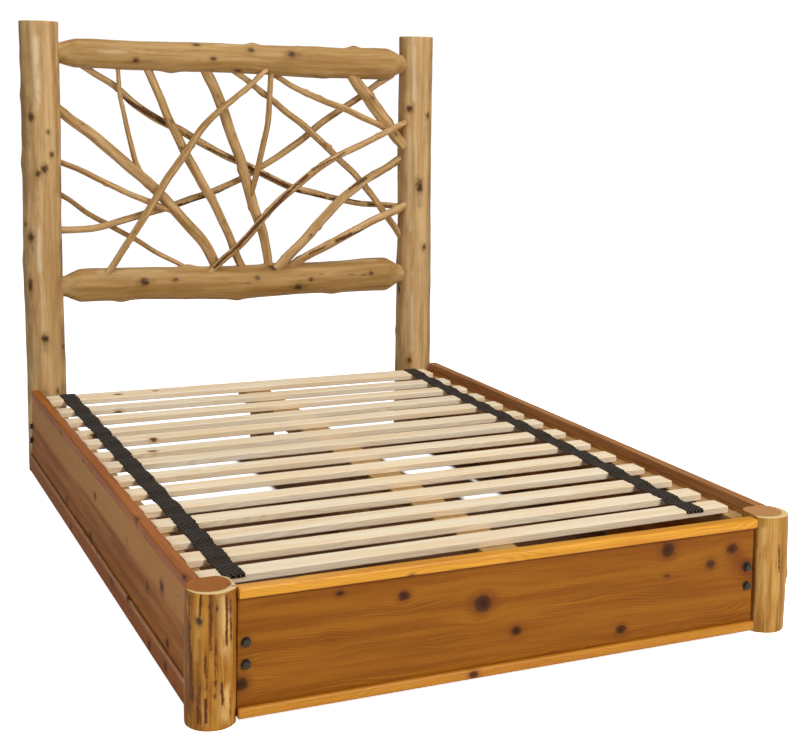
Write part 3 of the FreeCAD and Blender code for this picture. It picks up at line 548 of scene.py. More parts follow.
def markLog(shape, spec, hiddenKnots):
    # what the photograph shows of a log, then knots on its hidden faces
    addKnots(shape, spec["knots"])
    addBumps(shape, spec.get("bumps", []))
    addHiddenKnots(shape, *hiddenKnots, spec["seed"])
    # listed strokes: stains, painted highlights, inner bark and cracks
    for mark in ("stain", "pale", "bark", "crack"):
        addStrokes(shape, mark, spec.get(f"{mark}s", []))


def easedStations(stations, step):
    # stations of x, y, z and radius, closer together on a curve that doesn't swing out
    values = np.array(stations, float)
    runs = np.linalg.norm(np.diff(values[:, :3], axis=0), axis=1)
    places = np.concatenate([[0], np.cumsum(runs)])
    order = np.arange(len(values))
    low, high = np.maximum(order - 1, 0), np.minimum(order + 1, len(values) - 1)
    slopes = (values[high] - values[low]) / (places[high] - places[low])[:, None]
    along = np.linspace(0, places[-1], max(int(places[-1] / step), 2) + 1)
    k = np.clip(np.searchsorted(places, along, side="right") - 1, 0, len(runs) - 1)
    run = runs[k][:, None]
    t = ((along - places[k]) / runs[k])[:, None]
    eased = (values[k] + (values[k + 1] - values[k]) * t * t * (3 - 2 * t)
             + run * t * (1 - t) * (slopes[k] * (1 - t) - slopes[k + 1] * t))
    return eased, along


# Uneven growth of a log: share of its radius, waves round it, length of a wave along it.
growthShares = [(0.014, 2, 260), (0.009, 3, -170), (0.006, 5, 90), (0.004, 8, -45), (0.010, 0, 75),
                (0.006, 1, 31), (0.004, -2, 17)]
# Rings on a flat end, as shares of its radius.
capShares = (0.92, 0.84, 0.74, 0.62, 0.5, 0.38, 0.26, 0.14, 0.05)
# Crooked growth: two lengths of wave along a twig, and how far its ends stay straight.
crook = {
    "short": 21,
    "shortShare": 0.35,
    "long": 44,
    "holdReach": 60,
}


def growLog(stations, step, sides, seed, upright=False, bevel=2.0, unevenShare=1.0, wander=0.0):
    # a log or twig: rings of points round an uneven path, with rounded rims and flat ends
    path, along = easedStations(stations, step)
    sway = random.Random(seed + 500)
    hold = np.clip(np.minimum(along, along[-1] - along) / crook["holdReach"], 0, 1) * wander
    for axis in (0, 2):
        path[:, axis] += hold * (np.sin(along / crook["short"] + sway.uniform(0, 6)) * crook["shortShare"]
                                 + np.sin(along / crook["long"] + sway.uniform(0, 6)))
    if upright:
        runs = np.tile([0.0, 0.0, 1.0], (len(path), 1))
    else:
        runs = np.gradient(path[:, :3], axis=0)
        runs /= np.linalg.norm(runs, axis=1)[:, None]
    forward = np.array([0.0, -1.0, 0.0])
    across = forward - runs * (runs @ forward)[:, None]
    across /= np.linalg.norm(across, axis=1)[:, None]
    other = np.cross(runs, across)
    angles = np.linspace(0, 2 * math.pi, sides, endpoint=False)

    # rings: index on the path, shift along it, radius lost, radius kept as a share, end flag
    rings = []
    turnsOfRim = [math.radians(turn) for turn in (30, 60, 90)]
    last = len(path) - 1
    for share in reversed(capShares):
        rings.append((0, 0, bevel, share, 1))
    for turn in reversed(turnsOfRim):
        lost = bevel * (1 - math.cos(turn))
        rings.append((0, bevel * (1 - math.sin(turn)), lost, 1, 1 if turn > 1 else 0.4))
    for k in range(len(path)):
        if bevel < along[k] < along[-1] - bevel:
            rings.append((k, 0, 0, 1, 0))
    for turn in turnsOfRim:
        lost = bevel * (1 - math.cos(turn))
        rings.append((last, -bevel * (1 - math.sin(turn)), lost, 1, 1 if turn > 1 else 0.4))
    for share in capShares:
        rings.append((last, 0, bevel, share, 1))
    index = np.array([ring[0] for ring in rings])
    shift, lost, kept, flag = (np.array([ring[k] for ring in rings], float) for k in (1, 2, 3, 4))
    ringAlong = along[index] + shift

    draw = random.Random(seed)
    phases = [draw.uniform(0, 2 * math.pi) for _ in growthShares]
    turn, place = np.meshgrid(angles, ringAlong)
    radius = path[index, 3][:, None]
    waves = sum(share * np.cos(around * turn + phase + place / length)
                for (share, around, length), phase in zip(growthShares, phases))
    reach = (radius * (1 + unevenShare * waves) - lost[:, None]) * kept[:, None]
    outward = (np.cos(turn)[..., None] * across[index][:, None]
               + np.sin(turn)[..., None] * other[index][:, None])
    centres = path[index, :3] + runs[index] * shift[:, None]
    points = centres[:, None] + outward * reach[..., None]
    capped = (kept < 1)[:, None, None]
    sign = np.where(index == 0, -1.0, 1.0)[:, None, None]
    normals = np.where(capped, np.broadcast_to(runs[index][:, None] * sign, outward.shape), outward)
    grain = np.stack([reach * np.cos(turn), reach * np.sin(turn), place], axis=-1)

    count = len(rings)
    firstCentre, lastCentre = count * sides, count * sides + 1
    allPoints = np.vstack([points.reshape(-1, 3), path[0, :3], path[-1, :3]])
    faces = joinRings(count, sides)
    for j in range(sides):
        after = (j + 1) % sides
        faces.append((after, j, firstCentre))
        faces.append(((count - 1) * sides + j, (count - 1) * sides + after, lastCentre))
    shape = {
        "points": allPoints,
        "faces": faces,
        "normals": np.vstack([normals.reshape(-1, 3), -runs[0], runs[-1]]),
        "runs": np.vstack([np.repeat(runs[index], sides, axis=0), runs[0], runs[-1]]),
        "grain": np.vstack([grain.reshape(-1, 3), [0, 0, 0], [0, 0, along[-1]]]),
        "grainRun": np.array([0, 0, 1]),
        "end": np.concatenate([np.repeat(flag, sides), [1, 1]]),
        "along": np.concatenate([np.repeat(ringAlong, sides), [0, along[-1]]]),
        "sharpAngle": 50,
    }
    return blankMarks(shape, seed)


# Head posts: tall, unevenly grown, sawn off flat on top.
headPosts = {
    "step": 4,
    "sides": 104,
    "bevel": 3,
    "hiddenKnots": (14, 12),  # how many, and their radius
    "left": {
        "height": 1460, "radius": 62.5, "lean": -28, "seed": 3, "inset": 27,
        "shares": [(0, 0.975, 0), (0.22, 0.985, 0.01), (0.5, 0.97, -0.03), (0.78, 0.985, 0.03), (1, 1.0, 0)],
        "knots": [
            (43.6, 168.6, 12, 1.2, 1.0, 3), (38, 174, 9, 1.4, 0.8, 2), (51.7, 155, 8, 1.3, 0.8, 2),
            (30.8, 117, 11, 1.3, 0.9, 3), (47.7, 131.7, 7, 1.3, 0.7, 1), (31, 237.6, 13, 1.3, 0.9, 3),
            (25.8, 224.7, 8, 1.5, 0.7, 3), (30.6, 286, 9, 3.0, 0.9, 2), (44.8, 339.4, 12, 1.1, 1.0, 2),
            (62.2, 346, 8, 1.2, 0.9, 3), (58, 391, 8, 1.4, 0.7, 1),
        ],
        "stains": [(31, 105, 30, 132, 9, 0.5), (36, 160, 44, 182, 12, 0.5), (28, 222, 32, 250, 10, 0.5),
                   (30, 272, 31, 300, 8, 0.6), (44, 330, 46, 350, 10, 0.4)],
        # strength of the painted shade on the post's sides
        "edge": 0.55,
        # painted highlights: pale bands down the post
        "pales": [(36, 40, 38, 110, 10, 0.7), (38, 190, 40, 270, 9, 0.6), (42, 290, 44, 330, 8, 0.6)],
    },
    "right": {
        "height": 1452, "radius": 63.5, "lean": -11, "seed": 5, "inset": -27,
        "shares": [(0, 1.0, 0), (0.22, 1.0, 0.02), (0.5, 0.965, 0.03), (0.78, 0.95, -0.02), (1, 0.94, 0)],
        "knots": [
            (410.1, 108.6, 11, 1.2, 0.9, 3), (427.5, 116, 9, 1.3, 0.8, 3), (419.2, 187, 12, 2.2, 1.0, 3),
            (423.4, 247.9, 10, 1.3, 0.8, 2), (399.5, 289.3, 9, 1.3, 0.8, 2), (408.8, 360.4, 9, 1.4, 0.8, 2),
        ],
        "stains": [(410, 100, 411, 118, 10, 0.4), (419, 180, 420, 205, 11, 0.5)],
        # strength of the painted shade on the post's sides
        "edge": 0.45,
        # painted highlights: pale bands down the post
        "pales": [(414, 40, 414, 100, 8, 0.6), (410, 130, 410, 230, 8, 0.5), (412, 260, 412, 350, 8, 0.5)],
    },
}
for side, axis in (("left", bed["leftAxis"]), ("right", bed["rightAxis"])):
    spec = headPosts[side]
    stations = [(axis + spec["inset"] + spec["lean"] * up + sway * spec["radius"], bed["headAxis"],
                 spec["height"] * up, spec["radius"] * thick) for up, thick, sway in spec["shares"]]
    post = growLog(stations, headPosts["step"], headPosts["sides"], spec["seed"], True,
                   headPosts["bevel"], 0.8)
    markLog(post, spec, headPosts["hiddenKnots"])
    # painted shade: both sides of a post are painted darker, the one on the right more
    for way, share in ((1, 1), (-1, 0.7)):
        shadedSide = np.clip(way * post["normals"][:, 0] * 2 - 0.8, 0, 1)
        post["stain"] = np.maximum(post["stain"], spec["edge"] * share * shadedSide)
    finishShape(f"headPost{side.title()}", post, peeledPine, "peeled_log", f"head_post_{side}")
print("head posts ready")


def postX(side, height):
    # where a head post's axis is at a height
    spec = headPosts[side]
    axis = bed[f"{side}Axis"] + spec["inset"]
    return axis + spec["lean"] * height / spec["height"]


# Headboard rails: logs sharpened like pencils down to round tenons.
headboardRails = {
    "step": 4,
    "sides": 88,
    "tenonRadius": 34,
    "tenonDepth": 45,
    "neck": 3,
    "taper": 56,
    "cutPale": 0.4,
    "hiddenKnots": (10, 11),
    "taperShares": [(0, 0), (0.3, 0.36), (0.62, 0.74), (0.85, 0.96), (1, 1)],
    "upper": {
        "height": 1358, "radius": 50, "seed": 7,
        "shares": [(0.04, 0.93, 0.09), (0.2, 0.94, 0), (0.35, 0.99, 0.02), (0.5, 0.97, 0),
                   (0.63, 1.03, -0.06), (0.76, 1.11, -0.1), (0.87, 1.07, -0.12), (0.96, 1.11, -0.1)],
        "knots": [
            (136, 60.3, 10, 1.4, 0.9, 2), (196.3, 45.6, 9, 1.5, 0.9, 2), (213.5, 58.5, 8, 1.4, 0.8, 1),
            (250.5, 49.9, 9, 1.4, 0.9, 2), (291.9, 54.8, 13, 1.2, 1.0, 2), (238.5, 70.6, 9, 1.6, 0.8, 2),
            (353.8, 43, 9, 1.4, 0.8, 2),
        ],
        "bumps": [(252, 40, 16, 7), (354, 40, 18, 8), (171, 76, 20, 7), (325, 76, 20, 7), (76, 43, 16, 4)],
        "stains": [(286, 54, 300, 55, 9, 0.5), (120, 62, 150, 61, 7, 0.4)],
        # painted highlights: pale bands along the rail's upper side
        "pales": [(100, 52, 190, 50, 8, 0.6), (215, 45, 280, 44, 8, 0.6), (310, 42, 370, 40, 8, 0.5)],
    },
    "lower": {
        "height": 600, "radius": 56, "seed": 11,
        "shares": [(0.05, 0.96, 0.08), (0.2, 0.95, 0.05), (0.35, 1.0, -0.04), (0.5, 1.03, -0.12),
                   (0.7, 0.99, -0.06), (0.85, 1.03, -0.02), (0.95, 1.06, 0.04)],
        "knots": [
            (145.5, 282.5, 13, 1.3, 1.0, 3), (175.6, 279, 9, 1.4, 0.8, 1), (272, 268.6, 13, 1.4, 1.0, 3),
            (257.4, 277.7, 8, 1.4, 0.8, 1), (297.9, 286.7, 13, 1.4, 1.0, 3), (310.8, 279.8, 8, 1.3, 0.8, 1),
            (371, 272.9, 9, 1.3, 0.8, 2),
        ],
        "bumps": [(188, 263, 20, 8), (122, 300, 20, 6), (238, 298, 18, 8), (333, 292, 20, 6),
                  (272, 264, 22, 5)],
        "stains": [(138, 283, 154, 282, 9, 0.5), (262, 269, 284, 268, 9, 0.5),
                   (290, 287, 306, 286, 9, 0.5)],
        # painted highlights: pale bands along the rail's upper side
        "pales": [(100, 272, 180, 270, 9, 0.6), (200, 266, 260, 264, 9, 0.6),
                  (320, 262, 375, 260, 8, 0.5)],
        "cracks": [(319, 273.8, 366, 274.6, 2.2, 1.0), (228, 282.4, 250, 282.4, 2.2, 0.9)],
    },
}
tenon, neck, taper, depth = (headboardRails[key] for key in ("tenonRadius", "neck", "taper", "tenonDepth"))
for name in ("upper", "lower"):
    spec = headboardRails[name]
    shares, radius, height, axisY = spec["shares"], spec["radius"], spec["height"], bed["headAxis"]
    start = postX("left", height) + headPosts["left"]["radius"] + neck
    end = postX("right", height) - headPosts["right"]["radius"] - neck
    tips = []
    for tip, way, (_, thick, rise) in ((start, 1, shares[0]), (end, -1, shares[-1])):
        up, full = height + rise * radius, thick * radius
        tips.append([(tip - way * (neck + depth), axisY, up, tenon)]
                    + [(tip + way * taper * along, axisY, up, tenon + (full - tenon) * swell)
                       for along, swell in headboardRails["taperShares"]])
    middle = [(start + taper + (end - start - 2 * taper) * along, axisY, height + rise * radius,
               radius * thick) for along, thick, rise in shares]
    stations = tips[0] + middle + tips[1][::-1]
    rail = growLog(stations, headboardRails["step"], headboardRails["sides"], spec["seed"], False, 2, 1.0)
    markLog(rail, spec, headboardRails["hiddenKnots"])
    # the sharpened ends are cut through to paler wood
    fromEnd = np.minimum(rail["along"], rail["along"].max() - rail["along"]) - depth
    cut = np.clip(1.3 - fromEnd / (taper * 0.8), 0, 1)
    rail["pale"] = np.maximum(rail["pale"], cut * headboardRails["cutPale"])
    finishShape(f"headboard{name.title()}Rail", rail, peeledRail, "peeled_log", f"headboard_{name}_rail")
print("headboard rails ready")

# Twigs of the lattice: shares of the way across and up the headboard, depth in layers
# behind its middle, and thickness.
lattice = {
    "layer": 38,
    "step": 5,
    "sides": 30,
    "radii": [12.5, 9, 18.5, 15.5, 17.5, 13, 12, 10, 8.5, 12, 10, 11, 21, 12, 16, 14],
    "hiddenKnots": 5,
    "shoots": 9,
    "wander": 1.8,
}
twigShares = [
    [(0.080, 0.962, 0.35, 0.85), (0.167, 0.868, 0.85, 0.9), (0.254, 0.756, 1.0, 1.0),
     (0.366, 0.652, 1.0, 1.0), (0.509, 0.525, 0.86, 0.95), (0.546, 0.495, 0.78, 0.95),
     (0.655, 0.413, 0.76, 0.95), (0.779, 0.358, 0.8, 0.9), (0.886, 0.330, 0.8, 0.85),
     (0.962, 0.321, 0.3, 0.8)],
    [(0.171, 0.976, 0, 0.8), (0.188, 0.756, 0, 0.9), (0.224, 0.526, 0, 1.0), (0.274, 0.409, 0, 1.0)],
    [(0.010, 0.790, 0, 0.85), (0.121, 0.637, 0, 1.0), (0.227, 0.487, 0, 1.0),
     (0.307, 0.348, 0, 0.95), (0.386, 0.202, 0, 0.95), (0.441, 0.037, 0, 0.9)],
    [(0.240, 0.974, 0, 0.85), (0.296, 0.766, 0, 0.95), (0.345, 0.584, 0, 1.0),
     (0.406, 0.408, 0, 1.0), (0.457, 0.235, 0, 0.95), (0.509, 0.033, 0, 0.9)],
    [(0.393, 0.968, 0, 0.9), (0.451, 0.752, 0, 1.0), (0.489, 0.569, 0, 1.0),
     (0.523, 0.387, 0, 1.0), (0.557, 0.215, 0, 0.95), (0.579, 0.029, 0, 0.9)],
    [(0.556, 0.954, -0.9, 0.65), (0.477, 0.834, -1, 0.8), (0.385, 0.695, -1, 0.95),
     (0.341, 0.580, -1, 1.0), (0.287, 0.451, -1, 1.0), (0.248, 0.340, -1, 1.0),
     (0.200, 0.207, -1, 0.9), (0.129, 0.024, -0.7, 0.8)],
    [(0.018, 0.248, 0.2, 0.9), (0.127, 0.253, 0.35, 0.95), (0.242, 0.306, 0.9, 1.0),
     (0.346, 0.352, 1.0, 1.0), (0.450, 0.417, 1.15, 1.0), (0.546, 0.488, 1.42, 0.95),
     (0.653, 0.609, 1.2, 1.0), (0.764, 0.753, 1.0, 1.0), (0.928, 0.945, 0.4, 0.9)],
    [(0.018, 0.551, 0, 0.9), (0.121, 0.471, 0, 1.0), (0.199, 0.404, 0, 1.0),
     (0.271, 0.348, 0, 0.95), (0.309, 0.325, 0, 0.9)],
    [(0.018, 0.418, 0.8, 0.9), (0.132, 0.288, 1.25, 1.0), (0.206, 0.210, 1.2, 1.0),
     (0.336, 0.082, 0.7, 1.0), (0.374, 0.042, 0.5, 0.95)],
    [(0.460, 0.963, 0, 0.8), (0.592, 0.803, 0, 0.9), (0.691, 0.669, 0, 1.0),
     (0.801, 0.501, 0, 1.0), (0.897, 0.317, 0, 1.0), (0.964, 0.160, 0, 0.95)],
    [(0.575, 0.963, -0.3, 0.95), (0.563, 0.805, -0.95, 1.0), (0.553, 0.656, -1, 1.0),
     (0.535, 0.517, -0.9, 0.95), (0.521, 0.387, -0.25, 0.9)],
    [(0.585, 0.934, 0.35, 0.85), (0.694, 0.830, -0.9, 1.0), (0.811, 0.759, -0.9, 1.0),
     (0.917, 0.675, -0.4, 0.95)],
    [(0.790, 0.960, -0.3, 0.9), (0.867, 0.792, -0.4, 1.0), (0.915, 0.689, -0.4, 1.0),
     (0.957, 0.607, -0.55, 0.9)],
    [(0.402, 0.034, -0.65, 0.9), (0.487, 0.172, -1, 1.0), (0.576, 0.332, -1, 1.0),
     (0.675, 0.479, -1, 1.0), (0.788, 0.592, -1.1, 1.0), (0.892, 0.677, -1.4, 0.95),
     (0.955, 0.722, -0.9, 0.9)],
    [(0.585, 0.040, -0.55, 1.0), (0.672, 0.193, -0.9, 1.0), (0.748, 0.334, -0.9, 0.95),
     (0.828, 0.438, -0.85, 0.9), (0.965, 0.563, 0.1, 0.85)],
    [(0.617, 0.045, -0.2, 0.95), (0.735, 0.157, -1, 1.0), (0.834, 0.241, -1, 1.0),
     (0.918, 0.302, -1, 0.95), (0.966, 0.336, -0.55, 0.9)],
]
# strips of dark inner bark that the drawknife left
twigDetails = {
    1: [(84, 70, 104, 86, 6, 0.8), (104, 86, 124, 99, 7, 0.9), (124, 99, 146, 112, 10, 1.0),
        (146, 112, 164, 123, 9, 1.0), (164, 123, 180, 131, 7, 0.8), (208, 148, 240, 163, 6, 0.7),
        (240, 163, 270, 178, 9, 1.0), (270, 178, 300, 192, 9, 1.0), (300, 193, 325, 198, 9, 0.9),
        (330, 199, 360, 201, 8, 0.8), (368, 204, 392, 206, 7, 0.7)],
    7: [(170, 208, 190, 202, 7, 0.9), (190, 202, 214, 194, 7, 0.9), (214, 194, 236, 185, 7, 0.9),
        (236, 185, 256, 174, 7, 0.8)],
    14: [(214, 268, 239, 245, 7, 0.9), (239, 245, 256, 226, 8, 1.0), (256, 226, 272, 209, 8, 1.0),
         (272, 209, 290, 191, 8, 1.0), (290, 191, 307, 176, 7, 0.9), (312, 171, 345, 152, 6, 0.7)],
    15: [(350, 188, 366, 178, 7, 1.0)],
    16: [(336, 241, 352, 234, 8, 1.0), (352, 234, 370, 227, 6, 0.8), (310, 254, 326, 246, 6, 0.7)],
}
latticeStart = bed["leftAxis"] + headPosts["left"]["inset"]
latticeRun = bed["rightAxis"] + headPosts["right"]["inset"] - latticeStart
latticeLow = headboardRails["lower"]["height"]
latticeRise = headboardRails["upper"]["height"] - latticeLow
for number, (shares, radius) in enumerate(zip(twigShares, lattice["radii"]), start=1):
    stations = [(latticeStart + latticeRun * along, bed["headAxis"] + lattice["layer"] * depth,
                 latticeLow + latticeRise * up, radius * thick) for along, up, depth, thick in shares]
    twig = growLog(stations, lattice["step"], lattice["sides"], 20 + number, False, 1.0, 3.0,
                   lattice["wander"])
    addHiddenKnots(twig, lattice["hiddenKnots"], radius * 0.6, 40 + number)
    draw = random.Random(60 + number)
    # a few small knots and swellings all round, as where side shoots were cut off
    for _ in range(lattice["shoots"]):
        index = draw.randrange(len(twig["points"]) - 2)
        addKnot(twig, index, radius * draw.uniform(0.2, 0.36), draw.uniform(1.2, 2.2),
                draw.uniform(0.1, 0.6), radius * draw.uniform(0.12, 0.32))
    addStrokes(twig, "bark", twigDetails.get(number, []))
    finishShape(f"twig{number:02d}", twig, twigWood, "twig_wood", f"twig_{number:02d}")
print("lattice of twigs ready")

# Foot posts: short, sawn flat on top and on the sides that the rails come to.
footPosts = {
    "step": 2,
    "sides": 150,
    "bevel": 3,
    "height": 280,
    "radius": 54,
    "flatOffset": 44.5,
    "hiddenKnots": (3, 10),
    "left": {
        "inward": 1, "seed": 13,
        "shares": [(0, 0.975, 0.01), (0.3, 1.0, 0), (0.62, 0.985, -0.015), (1, 0.98, 0)],
        "knots": [(200, 621, 8, 1.3, 0.9, 1.5)],
        "cracks": [(228, 584, 235, 586, 2.4, 1)],
        "stains": [(213, 600, 213, 720, 9, 0.5), (186, 596, 187, 720, 24, 1.0), (198, 640, 199, 720, 7, 0.6)],
        "barks": [(210, 595, 211, 650, 5, 0.7), (216, 640, 215, 700, 5, 0.65), (189, 596, 190, 640, 6, 0.7),
                  (190, 640, 192, 700, 7, 0.75), (190.7, 652, 191, 677, 5, 1.2), (200, 690, 200, 722, 7, 0.6),
                  (206, 700, 206, 722, 4, 1.1), (198, 707, 198, 724, 4, 1.0), (226.8, 594, 227, 646, 4, 0.85),
                  (231, 600, 231, 640, 4, 0.7), (206, 650, 206, 690, 4, 0.7), (222, 684, 222, 704, 4, 1.0),
                  (201, 596, 200, 616, 4, 0.8), (218, 592, 218, 610, 4, 0.8), (230, 690, 230, 720, 3, 0.7)],
        # painted highlights: pale bands down the post, the widest on its right side
        "pales": [(197, 600, 197, 660, 4, 0.5), (226, 600, 226, 715, 14, 0.9)],
    },
    "right": {
        "inward": -1, "seed": 17,
        "shares": [(0, 0.97, 0), (0.25, 0.98, 0), (0.55, 1.0, 0), (1, 0.985, 0.005)],
        "knots": [(788, 573, 8, 1.3, 0.8, 3)],
        "stains": [(752, 530, 753, 620, 5, 0.6)],
        "barks": [(750, 540, 751, 570, 4, 0.7), (757, 524, 757, 548, 3, 0.6), (779, 545, 779, 572, 4, 0.8)],
        # painted highlight: a pale band down the post
        "pales": [(764, 530, 765, 640, 8, 0.6)],
    },
}
for side in ("left", "right"):
    spec = footPosts[side]
    axis, radius, height = bed[f"{side}Axis"], footPosts["radius"], footPosts["height"]
    stations = [(axis + sway * radius, bed["footAxis"], height * up, radius * thick)
                for up, thick, sway in spec["shares"]]
    post = growLog(stations, footPosts["step"], footPosts["sides"], spec["seed"], True,
                   footPosts["bevel"], 0.7)
    markLog(post, spec, footPosts["hiddenKnots"])
    # the flats towards the bed
    flat = footPosts["flatOffset"]
    inward = (post["points"][:, 0] - axis) * spec["inward"]
    post["points"][:, 0] = axis + spec["inward"] * np.minimum(inward, flat)
    post["points"][:, 1] = np.minimum(post["points"][:, 1], bed["footAxis"] + flat)
    finishShape(f"footPost{side.title()}", post, footPostWood[side], "peeled_log", f"foot_post_{side}")
print("foot posts ready")


def sawPlank(corner, size, axes, seed, rounding=2.0, step=8.0, endRound=1.0):
    # a sawn piece with eased edges; size and axes are length, width and depth
    length, width, depth = size
    order = ["xyz".index(axis) for axis in axes]
    outline = []  # width, depth, normal's width, normal's depth
    corners = [(width, 0, -90), (width, depth, 0), (0, depth, 90), (0, 0, 180)]
    hold = min(0.6, rounding)  # keeps the flat sides flat next to the rounding
    for k, (b, c, turn) in enumerate(corners):
        inner = (b - math.copysign(rounding, b - width / 2), c - math.copysign(rounding, c - depth / 2))
        for part in range(4):
            angle = math.radians(turn + 30 * part)
            outline.append((inner[0] + rounding * math.cos(angle), inner[1] + rounding * math.sin(angle),
                            math.cos(angle), math.sin(angle)))
        nextB, nextC, _ = corners[(k + 1) % 4]
        first = outline[-1]
        span = (width if k % 2 else depth) - 2 * rounding
        pieces = max(int(span / step), 1)
        places = [hold / span] + [j / pieces for j in range(1, pieces)] + [1 - hold / span]
        way = (np.sign(nextB - b), np.sign(nextC - c))
        for share in places:
            outline.append((first[0] + way[0] * span * share, first[1] + way[1] * span * share,
                            first[2], first[3]))
    outline = np.array(outline)
    sides = len(outline)
    runs = max(int(length / step), 2)
    # both ends are eased by two rings
    middle = np.linspace(endRound, length - endRound, runs + 1)
    ease, easeInset = endRound * 0.35, endRound * 0.3
    stations = np.concatenate([[0, ease], middle, [length - ease, length]])
    inset = np.array([endRound, easeInset, *np.zeros(runs + 1), easeInset, endRound])
    across = (outline[None, :, 0] - width / 2) * (1 - 2 * inset[:, None] / width) + width / 2
    deep = (outline[None, :, 1] - depth / 2) * (1 - 2 * inset[:, None] / depth) + depth / 2
    local = np.stack([np.broadcast_to(stations[:, None], across.shape), across, deep], axis=-1)
    local = local.reshape(-1, 3)
    localNormals = np.tile(np.insert(outline[:, 2:], 0, 0, axis=1), (len(stations), 1))
    points, normals = np.zeros_like(local), np.zeros_like(local)
    points[:, order] = local
    normals[:, order] = localNormals
    run = np.zeros(3)
    run[order[0]] = 1
    faces = joinRings(len(stations), sides)
    faces.append(tuple(reversed(range(sides))))
    faces.append(tuple(range((len(stations) - 1) * sides, len(stations) * sides)))
    if np.linalg.det(np.eye(3)[order]) < 0:  # the axes turn the other way round
        faces = [tuple(reversed(face)) for face in faces]
    shape = {
        "points": points + np.array(corner, float),
        "faces": faces,
        "normals": normals,
        "runs": np.tile(run, (len(points), 1)),
        "grain": local.copy(),
        "grainRun": np.array([1, 0, 0]),
        "end": np.zeros(len(points)),
        "local": local,
        "sharpAngle": 35,
    }
    return blankMarks(shape, seed)


# How far growth lines part round a knot, in its radii, and by which share of their distance.
parting = {
    "along": 2.6,
    "across": 2.2,
    "share": 0.85,
}


def partGrain(shape, knots):
    # growth lines part round a knot
    for index, radius in knots:
        across = shape["local"][:, 1] - shape["local"][index, 1]
        along = shape["local"][:, 0] - shape["local"][index, 0]
        near = np.exp(-(along / (radius * parting["along"])) ** 2
                      - (across / (radius * parting["across"])) ** 2)
        shape["grain"][:, 1] -= across * near * parting["share"]


def addBoardKnots(shape, knots):
    partGrain(shape, [(pick(shape, column, row), radius) for column, row, radius, *_ in knots])
    addKnots(shape, knots)


def addRandomBoardKnots(shape, count, radius, seed):
    draw = random.Random(seed)
    places = np.flatnonzero(~facesCamera(shape))
    found = [(int(draw.choice(places)), radius * draw.uniform(0.5, 1.1)) for _ in range(count)]
    partGrain(shape, found)
    for index, size in found:
        addKnot(shape, index, size, draw.uniform(1, 1.5), draw.uniform(0.7, 1), 0)


# Foot rail: knotty board, rounded cap and bottom strip.
footRail = {
    "start": -632.25,
    "end": 630.75,
    "inset": 13,
    "proud": 13,
    "capHeight": 22,
    "trimHeight": 22,
    "trimRound": 5,
    "boardKnots": [
        (403.8, 597, 10, 1.15, 1.0, 0), (482.9, 604.6, 17, 1.2, 1.0, 0), (515, 631, 9, 1.3, 1.0, 0),
        (620.7, 629.3, 9.5, 1.25, 1.0, 0), (669, 551, 15, 1.2, 1.0, 0), (710, 563.8, 10, 1.1, 0.9, 0),
        (731.6, 548.5, 12, 1.2, 0.9, 0), (745.7, 566.3, 11, 1.1, 0.9, 0), (242, 684.4, 13, 1.1, 1.0, 0),
        (339.4, 592.3, 5, 2.0, 0.9, 0), (666.6, 576.5, 5, 2.2, 0.5, 0),
    ],
    "hiddenKnots": (5, 12),
    "boardStains": [(738, 560, 752, 572, 26, 0.7)],
    "trimKnots": [(472.7, 673.5, 7, 1.5, 0.9, 0)],
    "trimStain": 0.35,
}
footLength = footRail["end"] - footRail["start"]
footBack = bed["footAxis"] - footRail["inset"]
footFront = footBack - bed["boardThickness"]
footBoardHeight = bed["railTop"] - footRail["capHeight"] - bed["floorGap"]
board = sawPlank((footRail["start"], footFront, bed["floorGap"]),
                 (footLength, footBoardHeight, bed["boardThickness"]), "xzy", 31, 1.5, 6)
addBoardKnots(board, footRail["boardKnots"])
addRandomBoardKnots(board, *footRail["hiddenKnots"], 31)
addStrokes(board, "stain", footRail["boardStains"])
fromTop = footBoardHeight - board["local"][:, 1]
# painted shadow under the cap: the board darkens towards its top edge
board["stain"] = np.maximum(board["stain"], 0.85 * np.clip(1.4 - fromTop / 6, 0, 1))
finishShape("footRailBoard", board, stainedBoard, "stained_board", "foot_rail_board")
cap = sawPlank((footRail["start"], footFront - footRail["proud"], bed["railTop"] - footRail["capHeight"]),
               (footLength, footRail["capHeight"], bed["boardThickness"] + footRail["proud"]), "xzy", 32,
               footRail["trimRound"], 6)
addRandomBoardKnots(cap, 3, 7, 32)
finishShape("footRailCap", cap, honeyTrim, "honey_trim", "foot_rail_cap")
trim = sawPlank((footRail["start"], footFront - footRail["proud"], bed["floorGap"]),
                (footLength, footRail["trimHeight"], footRail["proud"]), "xzy", 33, footRail["trimRound"], 6)
addBoardKnots(trim, footRail["trimKnots"])
trim["stain"] = np.maximum(trim["stain"], footRail["trimStain"])
finishShape("footRailBottomTrim", trim, honeyTrim, "honey_trim", "foot_rail_bottom_trim")

